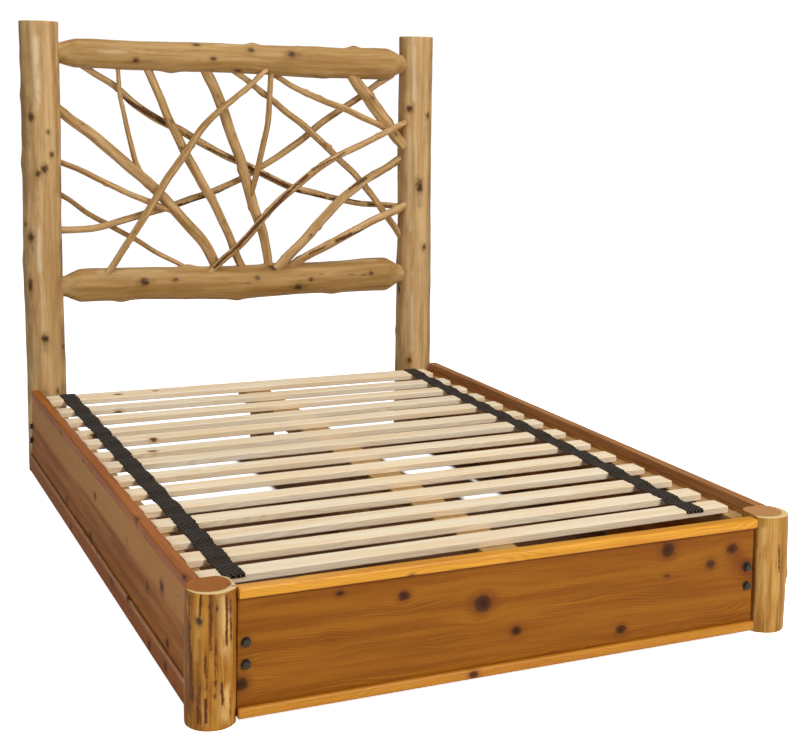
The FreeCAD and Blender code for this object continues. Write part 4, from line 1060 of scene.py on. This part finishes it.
# Side rails: board, cap, bottom strip and the ledge that carries the slats.
sideRails = {
    "start": -941.25,
    "boardEnd": 951.25,
    "capEnd": 912.75,
    "capHeight": 26,
    "trimHeight": 50,
    "proud": 8,
    "trimRound": 3,
    "ledgeWidth": 44,
    "ledgeHeight": 38,
    "sapwoodShare": 0.62,
    "upperPale": 0.75,
    "boardKnots": [
        (66.6, 499, 9, 1.3, 0.9, 0), (95, 497, 8, 1.3, 0.9, 0), (162, 587, 11, 1.2, 1.0, 0),
        (147, 587, 8, 1.2, 0.9, 0), (91, 536, 10, 1.3, 0.9, 0), (168, 644, 9, 1.2, 1.0, 0),
        (127, 600, 8, 1.2, 0.9, 0),
    ],
    "capKnots": [(55, 440, 8, 1.5, 0.8, 0), (79, 467, 8, 1.5, 0.8, 0), (135, 520, 8, 1.5, 0.8, 0),
                 (184, 577, 8, 1.4, 0.8, 0)],
    "trimKnots": [(71, 527, 8, 1.4, 0.9, 0), (112, 582, 8, 1.4, 0.9, 0), (127, 600, 8, 1.3, 0.8, 0),
                  (149, 646, 9, 1.3, 0.9, 0), (165, 667, 9, 1.3, 0.9, 0)],
}
boardRun = sideRails["boardEnd"] - sideRails["start"]
capRun = sideRails["capEnd"] - sideRails["start"]
sideBoardHeight = bed["railTop"] - sideRails["capHeight"] - bed["floorGap"]
for side, sign in (("left", -1), ("right", 1)):
    inner = bed["middle"] + sign * bed["sideInner"]
    outer = inner + sign * bed["boardThickness"]
    proud = outer + sign * sideRails["proud"]
    ledge = inner - sign * sideRails["ledgeWidth"]
    name, seed = side.title(), 40 + sign
    shown = side == "left"
    board = sawPlank((min(inner, outer), sideRails["start"], bed["floorGap"]),
                     (boardRun, sideBoardHeight, bed["boardThickness"]), "yzx", seed, 1.5, 8)
    if shown:
        addBoardKnots(board, sideRails["boardKnots"])
    addRandomBoardKnots(board, 6, 11, seed)
    # the upper part of each board is pale sapwood
    upper = np.clip((board["local"][:, 1] / sideBoardHeight - sideRails["sapwoodShare"]) / 0.06, 0, 1)
    board["pale"] = np.maximum(board["pale"], sideRails["upperPale"] * upper)
    finishShape(f"sideRail{name}Board", board, sideBoardWood, "stained_board", f"side_rail_{side}_board")
    cap = sawPlank((min(inner, proud), sideRails["start"], bed["railTop"] - sideRails["capHeight"]),
                   (capRun, sideRails["capHeight"], abs(proud - inner)), "yzx", seed + 10,
                   sideRails["trimRound"], 7)
    trim = sawPlank((min(outer, proud), sideRails["start"], bed["floorGap"]),
                    (boardRun, sideRails["trimHeight"], sideRails["proud"]), "yzx", seed + 20,
                    sideRails["trimRound"], 7)
    if shown:
        addBoardKnots(cap, sideRails["capKnots"])
        addBoardKnots(trim, sideRails["trimKnots"])
        # painted highlight: the bottom strip's top edge is paler
        fromTop = sideRails["trimHeight"] - trim["local"][:, 1]
        trim["pale"] = np.maximum(trim["pale"], 0.9 * np.clip(1.5 - fromTop / 3, 0, 1))
    else:
        addRandomBoardKnots(cap, 4, 8, seed + 10)
        addRandomBoardKnots(trim, 5, 8, seed + 20)
    capWood = sideTrimWood if shown else wornTrimWood
    finishShape(f"sideRail{name}Cap", cap, capWood, "honey_trim", f"side_rail_{side}_cap")
    finishShape(f"sideRail{name}BottomTrim", trim, sideTrimWood, "honey_trim",
                f"side_rail_{side}_bottom_trim")
    ledge = sawPlank((min(inner, ledge), sideRails["start"], bed["ledgeTop"] - sideRails["ledgeHeight"]),
                     (capRun, sideRails["ledgeHeight"], sideRails["ledgeWidth"]), "yzx", seed + 30, 1.5, 9)
    finishShape(f"sideRail{name}Ledge", ledge, frameWood, "stained_board", f"side_rail_{side}_ledge")
print("rails ready")

# Slats: one slat is laid on points that carry how far each real one has slipped.
slats = {
    "length": 1345,
    "width": 57,
    "headWidth": 86,
    "thickness": 17.5,
    "pitch": 129,
    "firstRun": 115,
    "shift": 6,
    "round": 2.5,
    "toneSpread": 0.5,
    "seed": 4,
}
# how far each slat's left and right end have slipped towards the foot, of the pitch
slipShares = [
    (-0.03, -0.12), (0.16, -0.03), (0.24, -0.03), (0.48, -0.02), (0.33, -0.05), (0.46, 0.03), (0.30, -0.04),
    (0.35, -0.01), (0.35, 0.06), (0.48, 0.10), (0.40, 0.17), (0.40, 0.15), (0.33, 0.12), (0.26, -0.02),
]
slatKnots = [(119, 394, 9, 1.3, 1.0, 0), (156, 391, 7, 1.3, 1.0, 0), (118, 413, 9, 1.5, 1.0, 0),
             (93, 435, 10, 1.1, 1.0, 0), (154, 441, 8, 1.3, 1.0, 0), (153, 451, 8, 1.6, 1.0, 0)]
slatStart = bed["middle"] - slats["length"] / 2 - slats["shift"]
slatEnd = slatStart + slats["length"]
slatBase = bed["ledgeTop"] + bed["seatGap"]
slatTop = slatBase + slats["thickness"]


def slatWidth(number):
    # the slat by the headboard is a wider board
    return slats["headWidth"] if number == 1 else slats["width"]


def slatFront(number, x):
    # where a slat's foot side is, at a place across the bed
    leftSlip, rightSlip = slipShares[number - 1]
    share = (x - slatStart) / slats["length"]
    slip = leftSlip + (rightSlip - leftSlip) * share
    return bed["footAxis"] + slats["firstRun"] + (len(slipShares) - number - slip) * slats["pitch"]


oneSlat = sawPlank((0, 0, 0), (slats["length"], slats["width"], slats["thickness"]), "xyz", 0,
                   slats["round"], 7, 2)
slatMesh = bpy.data.meshes.new("oneSlat")
slatMesh.from_pydata((oneSlat["points"] * mm).tolist(), [], oneSlat["faces"])
writeLayer(slatMesh, "local", "FLOAT_VECTOR", oneSlat["local"])
writeLayer(slatMesh, "normalShare", "FLOAT_VECTOR", oneSlat["normals"])
slatModel = addObject("oneSlat", slatMesh)
slatPlaces, slatTurns, widthShares = [], [], []
for number, (leftSlip, rightSlip) in enumerate(slipShares, start=1):
    slatPlaces.append((slatStart * mm, slatFront(number, slatStart) * mm, slatBase * mm))
    slatTurns.append(math.asin((leftSlip - rightSlip) * slats["pitch"] / slats["length"]))
    widthShares.append(slatWidth(number) / slats["width"])
placeMesh = bpy.data.meshes.new("slatPlaces")
placeMesh.from_pydata(slatPlaces, [], [])
writeLayer(placeMesh, "turn", "FLOAT", slatTurns)
writeLayer(placeMesh, "widthShare", "FLOAT", widthShares)
slatRoll = addObject("slats", placeMesh)


def startTree(name, inputs, result):
    # a tree of geometry nodes with its sockets, and what its input node gives
    tree = bpy.data.node_groups.new(name, "GeometryNodeTree")
    for label, kind in inputs:
        tree.interface.new_socket(name=label, in_out="INPUT", socket_type=f"NodeSocket{kind}")
    tree.interface.new_socket(name=result, in_out="OUTPUT", socket_type="NodeSocketGeometry")
    return tree, addNode(tree, "NodeGroupInput").node.outputs


def endTree(tree, given, laid, result):
    # makes what was laid into real shapes with their finish
    realized = addNode(tree, "GeometryNodeRealizeInstances", inputs={"Geometry": laid})
    finished = addNode(tree, "GeometryNodeSetMaterial", inputs={
        "Geometry": realized, "Material": given["Finish"]})
    addNode(tree, "NodeGroupOutput", inputs={result: finished})


ofPoint = {"data_type": "FLOAT"}
ofInstance = {"data_type": "FLOAT", "domain": "INSTANCE"}
slatTree, given = startTree("laySlats", (
    ("Places", "Geometry"), ("Slat", "Object"), ("Tone Spread", "Float"), ("Seed", "Int"),
    ("Finish", "Material")), "Slats")
model = addNode(slatTree, "GeometryNodeObjectInfo", inputs={"Object": given["Slat"]}, output="Geometry")
turn = addNode(slatTree, "GeometryNodeInputNamedAttribute", ofPoint, {"Name": "turn"})
turned = addNode(slatTree, "ShaderNodeCombineXYZ", inputs={"Z": turn})
wide = addNode(slatTree, "GeometryNodeInputNamedAttribute", ofPoint, {"Name": "widthShare"})
widened = addNode(slatTree, "ShaderNodeCombineXYZ", inputs={"X": 1.0, "Y": wide, "Z": 1.0})
laid = addNode(slatTree, "GeometryNodeInstanceOnPoints", inputs={
    "Points": given["Places"], "Instance": model, "Rotation": turned, "Scale": widened})
lowest = addNode(slatTree, "ShaderNodeMath", times, {0: given["Tone Spread"], 1: -1})
tone = addNode(slatTree, "FunctionNodeRandomValue", ofPoint, {
    "Min": lowest, "Max": given["Tone Spread"], "Seed": given["Seed"]}, output=1)
laid = addNode(slatTree, "GeometryNodeStoreNamedAttribute", ofInstance, {
    "Geometry": laid, "Name": "tone", "Value": tone})
numberOf = addNode(slatTree, "GeometryNodeInputIndex")
laid = addNode(slatTree, "GeometryNodeStoreNamedAttribute", ofInstance, {
    "Geometry": laid, "Name": "order", "Value": numberOf})
endTree(slatTree, given, laid, "Slats")


def applyTree(piece, tree, values):
    # sets the inputs by their identifiers and turns the result into a plain mesh
    modifier = piece.modifiers.new(tree.name, "NODES")
    modifier.node_group = tree
    for item in tree.interface.items_tree:
        if item.in_out == "INPUT" and item.name in values:
            modifier[item.identifier] = values[item.name]
    graph = bpy.context.evaluated_depsgraph_get()
    result = bpy.data.meshes.new_from_object(
        piece.evaluated_get(graph), preserve_all_data_layers=True, depsgraph=graph)
    piece.modifiers.clear()
    piece.data = result
    return result


slatResult = applyTree(slatRoll, slatTree, {
    "Slat": slatModel, "Tone Spread": slats["toneSpread"], "Seed": slats["seed"], "Finish": slatWood})
bpy.data.objects.remove(slatModel)


def readAttribute(mesh, name, width):
    values = np.zeros(len(mesh.vertices) * width, np.float32)
    key = "vector" if width == 3 else "value"
    mesh.attributes[name].data.foreach_get(key, values)
    return values.reshape(-1, width).astype(float) if width > 1 else values.astype(float)


slatPoints = np.zeros(len(slatResult.vertices) * 3, np.float32)
slatResult.vertices.foreach_get("co", slatPoints)
slatLocal = readAttribute(slatResult, "local", 3)
slatOrder = readAttribute(slatResult, "order", 1)
slatLocal[:, 1] *= np.array(widthShares)[slatOrder.astype(int)]
slatShape = {
    "points": slatPoints.reshape(-1, 3).astype(float) / mm,
    "normals": readAttribute(slatResult, "normalShare", 3),
    "grain": slatLocal + np.outer(slatOrder, [1000, 37, 23]),
    "grainRun": np.array([1, 0, 0]),
    "runs": np.tile([1.0, 0.0, 0.0], (len(slatLocal), 1)),
}
blankMarks(slatShape, 0)
addKnots(slatShape, slatKnots)
slatShape["bark"] = readAttribute(slatResult, "tone", 1) + 0.5
writeMarks(slatResult, slatShape)
smoothMesh(slatResult, oneSlat["sharpAngle"])
slatNodes = [f"slat_{number:02d}" for number in range(1, len(slipShares) + 1)]
settle(slatRoll, "slat_roll", "slat_wood", *slatNodes)
print("slats ready")

# Straps: black woven webbing that lies on every slat and sags between them.
straps = {
    "width": 48,
    "thickness": 2.5,
    "sag": 5,
    "drop": 5,
    "threadWidth": 5.5,  # a real thread is half as wide, drawn so that it shows
    "fray": 2.4,
    "endThreads": 26,
    "slatSteps": 8,
    "gapSteps": 14,
    "step": 4,
    "columns": 13,
    "wobble": 0.5,
    "underShare": 0.02,  # height of the underside, so that it doesn't lie in the slats' faces
    "innerShare": 0.99,  # width of both faces, so that the edges are round
    "threadLengths": (1.5, 4.5),
    "sharpAngle": 50,
    "left": {"headX": slatStart + 69, "footX": slatStart + 69, "seed": 71},
    "right": {"headX": slatEnd - 58, "footX": slatEnd - 102, "seed": 73},
}


# Woven polypropylene webbing: dull black ribs with a slight fuzz, no gloss.
def wovenWebbing(name, look):
    material, tree = startMaterial(name)
    weave = addNode(tree, "ShaderNodeUVMap", {"uv_map": "weave"})
    threads = 1 / (look["threadWidth"] * mm)
    spread = addNode(tree, "ShaderNodeMapping", inputs={"Vector": weave, "Scale": (threads, threads, 1)})
    warp, weft = (addNode(tree, "ShaderNodeTexWave", {"bands_direction": way}, {
        "Vector": spread, "Scale": ringScale, "Distortion": bend, "Detail": 2})
        for way, bend in (("X", 1.2), ("DIAGONAL", 1.5)))
    woven = addNode(tree, "ShaderNodeMath", times, {0: warp, 1: weft})
    fuzz = addNode(tree, "ShaderNodeTexNoise", inputs={"Vector": spread, "Scale": 0.8, "Detail": 4})
    mixed = addNode(tree, "ShaderNodeMath", times, {0: woven, 1: fuzz})
    mixed = addNode(tree, "ShaderNodeMapRange", inputs={"Value": mixed, "From Min": 0.08, "From Max": 0.34})
    normal = addNode(tree, "ShaderNodeBump", inputs={
        "Height": woven, "Strength": 0.8, "Distance": 1.2 * mm})
    colour = addNode(tree, "ShaderNodeMix", colourMix, {
        mixFactor: mixed, mixFirst: linear(look["deep"]), mixSecond: linear(look["light"])}, mixResult)
    shader = addNode(tree, "ShaderNodeBsdfPrincipled", inputs={
        "Base Color": colour, "Roughness": 0.95, "Specular IOR Level": 0.1, "Sheen Weight": 0.04,
        "Sheen Roughness": 0.5, "Normal": normal})
    addNode(tree, "ShaderNodeOutputMaterial", inputs={"Surface": shader})
    return material


webbing = wovenWebbing("woven polypropylene webbing, black", {
    "threadWidth": straps["threadWidth"], "deep": "#0F0B08", "light": "#6A5C50"})
# the sides and ends of a loose thread, which is a prism on six points
threadFaces = ((0, 1, 4, 3), (1, 2, 5, 4), (2, 0, 3, 5), (0, 2, 1), (3, 4, 5))


def strapPath(spec):
    # places of the band's underside from the foot to the head: y, z
    count = len(slipShares)
    xs = [spec["footX"] + (spec["headX"] - spec["footX"]) * k / (count - 1) for k in range(count)]
    fronts = [slatFront(count - k, xs[k]) for k in range(count)]
    backs = [front + slatWidth(count - k) for k, front in enumerate(fronts)]
    # the cut end hangs over the edge of the foot slat
    path = [(fronts[0] - 1.2, slatTop - straps["drop"]), (fronts[0] - 1.0, slatTop - 1.5),
            (fronts[0] + 0.6, slatTop - 0.1)]
    for k in range(count):
        first = fronts[k] + (1 if k == 0 else 0)
        for step in range(straps["slatSteps"] + 1):
            path.append((first + (backs[k] - first) * step / straps["slatSteps"], slatTop))
        if k < count - 1:
            gap = fronts[k + 1] - backs[k]
            for step in range(1, straps["gapSteps"]):
                t = step / straps["gapSteps"]
                path.append((backs[k] + gap * t, slatTop - straps["sag"] * 4 * t * (1 - t)))
    return np.array(path)


for side in ("left", "right"):
    spec = straps[side]
    draw = np.random.default_rng(spec["seed"])
    path = strapPath(spec)
    steps = np.linalg.norm(np.diff(path, axis=0), axis=1)
    places = np.concatenate([[0], np.cumsum(steps)])
    along = np.linspace(0, places[-1], int(places[-1] / straps["step"]) + 1)
    ys, zs = np.interp(along, places, path[:, 0]), np.interp(along, places, path[:, 1])
    tangents = np.gradient(np.stack([ys, zs], axis=1), axis=0)
    tangents /= np.linalg.norm(tangents, axis=1)[:, None]
    share = (ys - ys[0]) / (ys[-1] - ys[0])
    xs = spec["footX"] + (spec["headX"] - spec["footX"]) * share
    wobble = np.interp(along, along[::5], draw.normal(0, straps["wobble"], len(along[::5])))
    halfWidth, thick = straps["width"] / 2, straps["thickness"]
    columns = np.linspace(-1, 1, straps["columns"])
    under = straps["underShare"]
    outline = [(-1, 0.5), *((u, under) for u in columns), (1, 0.5), *((u, 1) for u in columns[::-1])]
    leftEdge, rightEdge = (draw.normal(0, straps["fray"] / 2, len(along)) for _ in range(2))
    points, weave = [], []
    for u, up in outline:
        edge = np.where(u < 0, leftEdge, rightEdge) * abs(u) ** 4
        shrink = straps["innerShare"] if up in (under, 1) else 1.0
        height = thick * up
        x = xs + wobble + u * shrink * halfWidth + edge * (1 if u > 0 else -1) * 0.8
        points.append(np.stack([x, ys - tangents[:, 1] * height, zs + tangents[:, 0] * height], axis=1))
        weave.append(np.stack([np.full(len(along), u * halfWidth * mm), along * mm], axis=1))
    points = np.stack(points, axis=1)
    weave = np.stack(weave, axis=1)
    rows, ring = points.shape[:2]
    allPoints = points.reshape(-1, 3)
    allWeave = weave.reshape(-1, 2)
    faces = joinRings(rows, ring)
    faces.append(tuple(reversed(range(ring))))
    faces.append(tuple(range((rows - 1) * ring, rows * ring)))
    # loose threads at both cut ends
    extraPoints, extraWeave = [], []
    for end, way in ((0, -1), (rows - 1, 1)):
        for _ in range(straps["endThreads"]):
            u = draw.uniform(-0.95, 0.95)
            base = np.array([xs[end] + u * halfWidth, ys[end] - way * 1.5,
                             zs[end] + thick * draw.uniform(0.3, 0.7)])
            reach = draw.uniform(*straps["threadLengths"])
            if end == 0:
                tip = base + np.array([draw.normal(0, 0.8), -0.5, -reach])
            else:
                tip = base + np.array([draw.normal(0, 1.2), reach, -0.15 * reach])
            first = len(allPoints) + len(extraPoints)
            for centre, half in ((base, 0.55), (tip, 0.25)):
                for turn in (90, 210, 330):
                    offset = (half * math.cos(math.radians(turn)), half * math.sin(math.radians(turn)))
                    bent = (offset[0], offset[1], 0) if end == 0 else (offset[0], 0, offset[1])
                    extraPoints.append(centre + np.array(bent))
                    extraWeave.append((u * halfWidth * mm, end * mm))
            faces += [tuple(first + corner for corner in face) for face in threadFaces]
    allPoints = np.vstack([allPoints, extraPoints])
    allWeave = np.vstack([allWeave, extraWeave])
    mesh = bpy.data.meshes.new(f"strap{side.title()}")
    mesh.from_pydata((allPoints * mm).tolist(), [], faces)
    corners = np.zeros(len(mesh.loops), np.int32)
    mesh.loops.foreach_get("vertex_index", corners)
    uv = mesh.uv_layers.new(name="weave")
    uv.data.foreach_set("uv", allWeave[corners].astype(np.float32).ravel())
    smoothMesh(mesh, straps["sharpAngle"])
    mesh.materials.append(webbing)
    piece = addObject(f"strap{side.title()}", mesh)
    settle(piece, "slat_roll", "webbing", f"strap_{side}")
print("straps ready")

# Bolts: flanged hexagon heads, one model laid on points.
bolts = {
    "radius": 5,
    "length": 50,
    "flangeRadius": 10.5,
    "flange": 2,
    "headRadius": 9.2,
    "head": 7,
    "footHeights": (119, 165),
    "sideHeights": (111, 157),
    "endGap": 17,
    "sides": 48,
    "sharpAngle": 28,
}


# Black oxide steel: dark brown-black, dull, with grey patches at random, partly wear and partly a painted
# sheen.
def blackSteel(name, look):
    material, tree = startMaterial(name)
    place = addNode(tree, "ShaderNodeTexCoord", output="Object")
    wearAndSheen = addNode(tree, "ShaderNodeTexNoise", inputs={"Vector": place, "Scale": 260, "Detail": 4})
    rough = addNode(tree, "ShaderNodeMapRange", inputs={"Value": wearAndSheen, "To Min": 0.25, "To Max": 0.5})
    colour = addNode(tree, "ShaderNodeMix", colourMix, {
        mixFactor: wearAndSheen, mixFirst: linear(look["deep"]), mixSecond: linear(look["light"])}, mixResult)
    shader = addNode(tree, "ShaderNodeBsdfPrincipled", inputs={
        "Base Color": colour, "Roughness": rough, "Metallic": 0.7})
    addNode(tree, "ShaderNodeOutputMaterial", inputs={"Surface": shader})
    return material


boltSteel = blackSteel("black oxide steel", {"deep": "#1A1612", "light": "#5C5348"})
# the outline of one bolt from its shank to the top of its head: along, radius, six-sided share
shank, collar, hexagonal = bolts["radius"], bolts["flangeRadius"], bolts["headRadius"]
headFoot, headTop = -bolts["flange"], -bolts["flange"] - bolts["head"]
boltOutline = [
    (bolts["length"], 0.01, 0), (bolts["length"], shank - 0.8, 0), (bolts["length"] - 1, shank, 0),
    (0, shank, 0), (0, collar - 0.3, 0), (-0.5, collar, 0), (-1.2, collar - 0.4, 0),
    (headFoot, hexagonal + 0.4, 0.3), (headFoot - 0.2, hexagonal, 1), (headTop + 1.2, hexagonal, 1),
    (headTop + 0.3, hexagonal * 0.93, 0.5), (headTop, hexagonal * 0.8, 0), (headTop, 0.01, 0),
]
boltPoints = []
for along, radius, sixShare in boltOutline:
    for j in range(bolts["sides"]):
        turn = 2 * math.pi * j / bolts["sides"]
        facet = (turn + math.pi / 6) % (math.pi / 3) - math.pi / 6
        hexagon = math.cos(math.pi / 6) / math.cos(facet)
        reach = radius * (1 - sixShare + sixShare * hexagon)
        boltPoints.append((along * mm, reach * math.cos(turn) * mm, reach * math.sin(turn) * mm))
boltFaces = [(face[0], *face[:0:-1]) for face in joinRings(len(boltOutline), bolts["sides"])]
boltFaces.append(tuple(range(bolts["sides"])))
boltFaces.append(tuple(reversed(range(len(boltPoints) - bolts["sides"], len(boltPoints)))))
boltMesh = bpy.data.meshes.new("oneBolt")
boltMesh.from_pydata(boltPoints, [], boltFaces)
boltModel = addObject("oneBolt", boltMesh)

boltTree, given = startTree("setBolts", (
    ("Places", "Geometry"), ("Bolt", "Object"), ("Slack Turn", "Float"), ("Seed", "Int"),
    ("Finish", "Material")), "Bolts")
model = addNode(boltTree, "GeometryNodeObjectInfo", inputs={"Object": given["Bolt"]}, output="Geometry")
heading = addNode(boltTree, "GeometryNodeInputNamedAttribute", ofPoint, {"Name": "turn"})
slack = addNode(boltTree, "FunctionNodeRandomValue", ofPoint, {
    "Min": 0.0, "Max": given["Slack Turn"], "Seed": given["Seed"]}, output=1)
turned = addNode(boltTree, "ShaderNodeCombineXYZ", inputs={"X": slack, "Z": heading})
laid = addNode(boltTree, "GeometryNodeInstanceOnPoints", inputs={
    "Points": given["Places"], "Instance": model, "Rotation": turned})
endTree(boltTree, given, laid, "Bolts")

leftOuter = bed["middle"] - bed["sideInner"] - bed["boardThickness"]
rightOuter = bed["middle"] + bed["sideInner"] + bed["boardThickness"]
boltPlaces = {
    "footRailBolts": [(x, footFront, z, 90) for x in (footRail["start"] + bolts["endGap"],
                                                      footRail["end"] - bolts["endGap"])
                      for z in bolts["footHeights"]],
    "sideRailBolts": [(x, y, z, turn) for x, turn in ((leftOuter, 0), (rightOuter, 180))
                      for y in (sideRails["start"] + bolts["endGap"], sideRails["boardEnd"] - bolts["endGap"])
                      for z in bolts["sideHeights"]],
}
for name, node, seed in (("footRailBolts", "foot_rail_bolts", 1), ("sideRailBolts", "side_rail_bolts", 2)):
    mesh = bpy.data.meshes.new(name)
    mesh.from_pydata([(x * mm, y * mm, z * mm) for x, y, z, turn in boltPlaces[name]], [], [])
    writeLayer(mesh, "turn", "FLOAT", [math.radians(turn) for x, y, z, turn in boltPlaces[name]])
    piece = addObject(name, mesh)
    result = applyTree(piece, boltTree, {
        "Bolt": boltModel, "Slack Turn": math.pi / 3, "Seed": seed, "Finish": boltSteel})
    smoothMesh(result, bolts["sharpAngle"])
    settle(piece, "bed_frame", "black_bolt", node)
bpy.data.objects.remove(boltModel)
print("bolts ready")


# Rough pine under the slats: dull, with fine fibres along each piece and no coat.
def roughPine(name, look):
    material, tree = startMaterial(name)
    place = addNode(tree, "ShaderNodeTexCoord", output="Object")
    spread = addNode(tree, "ShaderNodeMapping", inputs={
        "Vector": place, "Scale": tuple(1 / (size * mm) for size in look["fibre"])})
    fibres = addNode(tree, "ShaderNodeTexNoise", inputs={"Vector": spread, "Scale": 1, "Detail": 4})
    normal = addNode(tree, "ShaderNodeBump", inputs={
        "Height": fibres, "Strength": 0.3, "Distance": 0.6 * mm})
    colour = addNode(tree, "ShaderNodeMix", colourMix, {
        mixFactor: fibres, mixFirst: linear(look["light"]), mixSecond: linear(look["deep"])}, mixResult)
    shader = addNode(tree, "ShaderNodeBsdfPrincipled", inputs={
        "Base Color": colour, "Roughness": 0.8, "Specular IOR Level": 0.2, "Normal": normal})
    addNode(tree, "ShaderNodeOutputMaterial", inputs={"Surface": shader})
    return material


underWood = {
    grainAxis: roughPine(f"rough pine, sawn {way}", {"fibre": fibre, "light": "#C9A468", "deep": "#8E6A3A"})
    for grainAxis, way, fibre in (("Y", "along the bed", (6, 160, 6)), ("Z", "upright", (6, 6, 160)))}
for node, grainAxis in (
        ("centre_beam", "Y"), ("beam_legs", "Z"), ("foot_corner_block_left", "Z"),
        ("foot_corner_block_right", "Z"), ("side_corner_block_left", "Z"), ("side_corner_block_right", "Z")):
    shown = frame["nodes"][node]
    for piece in [shown] + list(shown.children_recursive):
        if piece.type == "MESH":
            piece.data.materials.clear()
            piece.data.materials.append(underWood[grainAxis])

# A plain white floor, in metres, with painted shadow under the bed where no light gets in: a dark brown tint
# there and no glow.
floorSize = {
    "reach": 30,
    "drop": 0.0005,  # just under the bed's feet
    "glow": 0.9,
    "fade": 0.03,
    "shades": [(0.053, -0.42, 0.692, 0.57), (-0.07, 0.28, 0.57, 0.21), (0.5, 0.38, 0.12, 0.1),
               (0.2, 0.7, 0.25, 0.26), (0.33, 0.87, 0.39, 0.1), (0.67, 0.43, 0.075, 0.53)],
}
floorMesh = bpy.data.meshes.new("floor")
reach = floorSize["reach"]
floorMesh.from_pydata([(x * reach, y * reach, -floorSize["drop"]) for x, y in (
    (-1, -1), (1, -1), (1, 1), (-1, 1))], [], [(0, 1, 2, 3)])
floor = addObject("floor", floorMesh)
paper, tree = startMaterial("white paper floor")
place = addNode(tree, "ShaderNodeTexCoord", output="Object")
axes = addNode(tree, "ShaderNodeSeparateXYZ", inputs={0: place}).node
under = 0.0
for middleX, middleY, halfX, halfY in floorSize["shades"]:
    sides = []
    for axis, middle, half in (("X", middleX, halfX), ("Y", middleY, halfY)):
        size = addNode(tree, "ShaderNodeMath", {"operation": "SUBTRACT"}, {0: axes.outputs[axis], 1: middle})
        size = addNode(tree, "ShaderNodeMath", {"operation": "ABSOLUTE"}, {0: size})
        sides.append(addNode(tree, "ShaderNodeMapRange", smooth, {
            "Value": size, "From Min": half, "From Max": half - floorSize["fade"]}))
    inside = addNode(tree, "ShaderNodeMath", times, {0: sides[0], 1: sides[1]})
    under = addNode(tree, "ShaderNodeMath", {"operation": "MAXIMUM"}, {0: inside, 1: under})
seen = addNode(tree, "ShaderNodeLightPath", output="Is Camera Ray")
glow = addNode(tree, "ShaderNodeMapRange", inputs={
    "Value": under, "To Min": floorSize["glow"], "To Max": 0.0})
glow = addNode(tree, "ShaderNodeMath", times, {0: glow, 1: seen})
# painted shadow: the floor turns dark brown under the bed
shadowTint = addNode(tree, "ShaderNodeMix", colourMix, {
    mixFactor: under, mixFirst: linear("#FFFFFF"), mixSecond: linear("#6E4A30")}, mixResult)
shader = addNode(tree, "ShaderNodeBsdfPrincipled", inputs={
    "Base Color": shadowTint, "Roughness": 0.9, "Specular IOR Level": 0.1,
    "Emission Color": linear("#FFFFFF"), "Emission Strength": glow})
addNode(tree, "ShaderNodeOutputMaterial", inputs={"Surface": shader})
floorMesh.materials.append(paper)

# Soft studio light: a large key from the right, a fill from the left and one from above.
studioLights = [
    # name, place and size in metres, watts
    ("key", (1.8, -5.0, 3.4), 2.0, 172),
    ("fill", (-4.8, -2.4, 2.2), 2.4, 58),
    ("top", (0.6, -0.5, 4.6), 2.6, 92),
    ("rear", (0.5, 5.0, 3.0), 3.0, 26),
]
for name, place, size, watts in studioLights:
    lamp = bpy.data.lights.new(name, "AREA")
    lamp.shape = "SQUARE"
    lamp.size = size
    lamp.energy = watts
    holder = addObject(name, lamp)
    holder.location = place
    aim = np.array([0.0, 0.0, 0.6]) - np.array(place)
    spin = math.atan2(aim[1], aim[0]) - math.pi / 2
    tilt = math.atan2(math.hypot(aim[0], aim[1]), -aim[2])
    holder.rotation_euler = (tilt, 0, spin)

world = bpy.data.worlds.new("white studio")
world.use_nodes = True
world.node_tree.nodes.clear()
seen = addNode(world.node_tree, "ShaderNodeLightPath", output="Is Camera Ray")
strength = addNode(world.node_tree, "ShaderNodeMapRange", inputs={
    "Value": seen, "To Min": 0.14, "To Max": 1.05})
sky = addNode(world.node_tree, "ShaderNodeBackground", inputs={
    "Color": linear("#FFFFFF"), "Strength": strength})
addNode(world.node_tree, "ShaderNodeOutputWorld", inputs={"Surface": sky})
bpy.context.scene.world = world
bpy.context.scene.view_settings.view_transform = "Standard"

lens = bpy.data.cameras.new("photoCamera")
lens.sensor_fit = "HORIZONTAL"
lens.sensor_width = cameraView["sensor"]
lens.lens = cameraView["focalPixels"] / cameraView["imageWidth"] * cameraView["sensor"]
lens.shift_y = (cameraView["opticalRow"] - cameraView["imageHeight"] / 2) / cameraView["imageWidth"]
photoCamera = addObject("photoCamera", lens)
axes = np.eye(4)
axes[:3, 0], axes[:3, 1], axes[:3, 2], axes[:3, 3] = cameraRight, cameraUp, -ahead, cameraPlace * mm
photoCamera.matrix_world = Matrix(axes.tolist())
bpy.context.scene.camera = photoCamera
print("stage, light and camera ready")
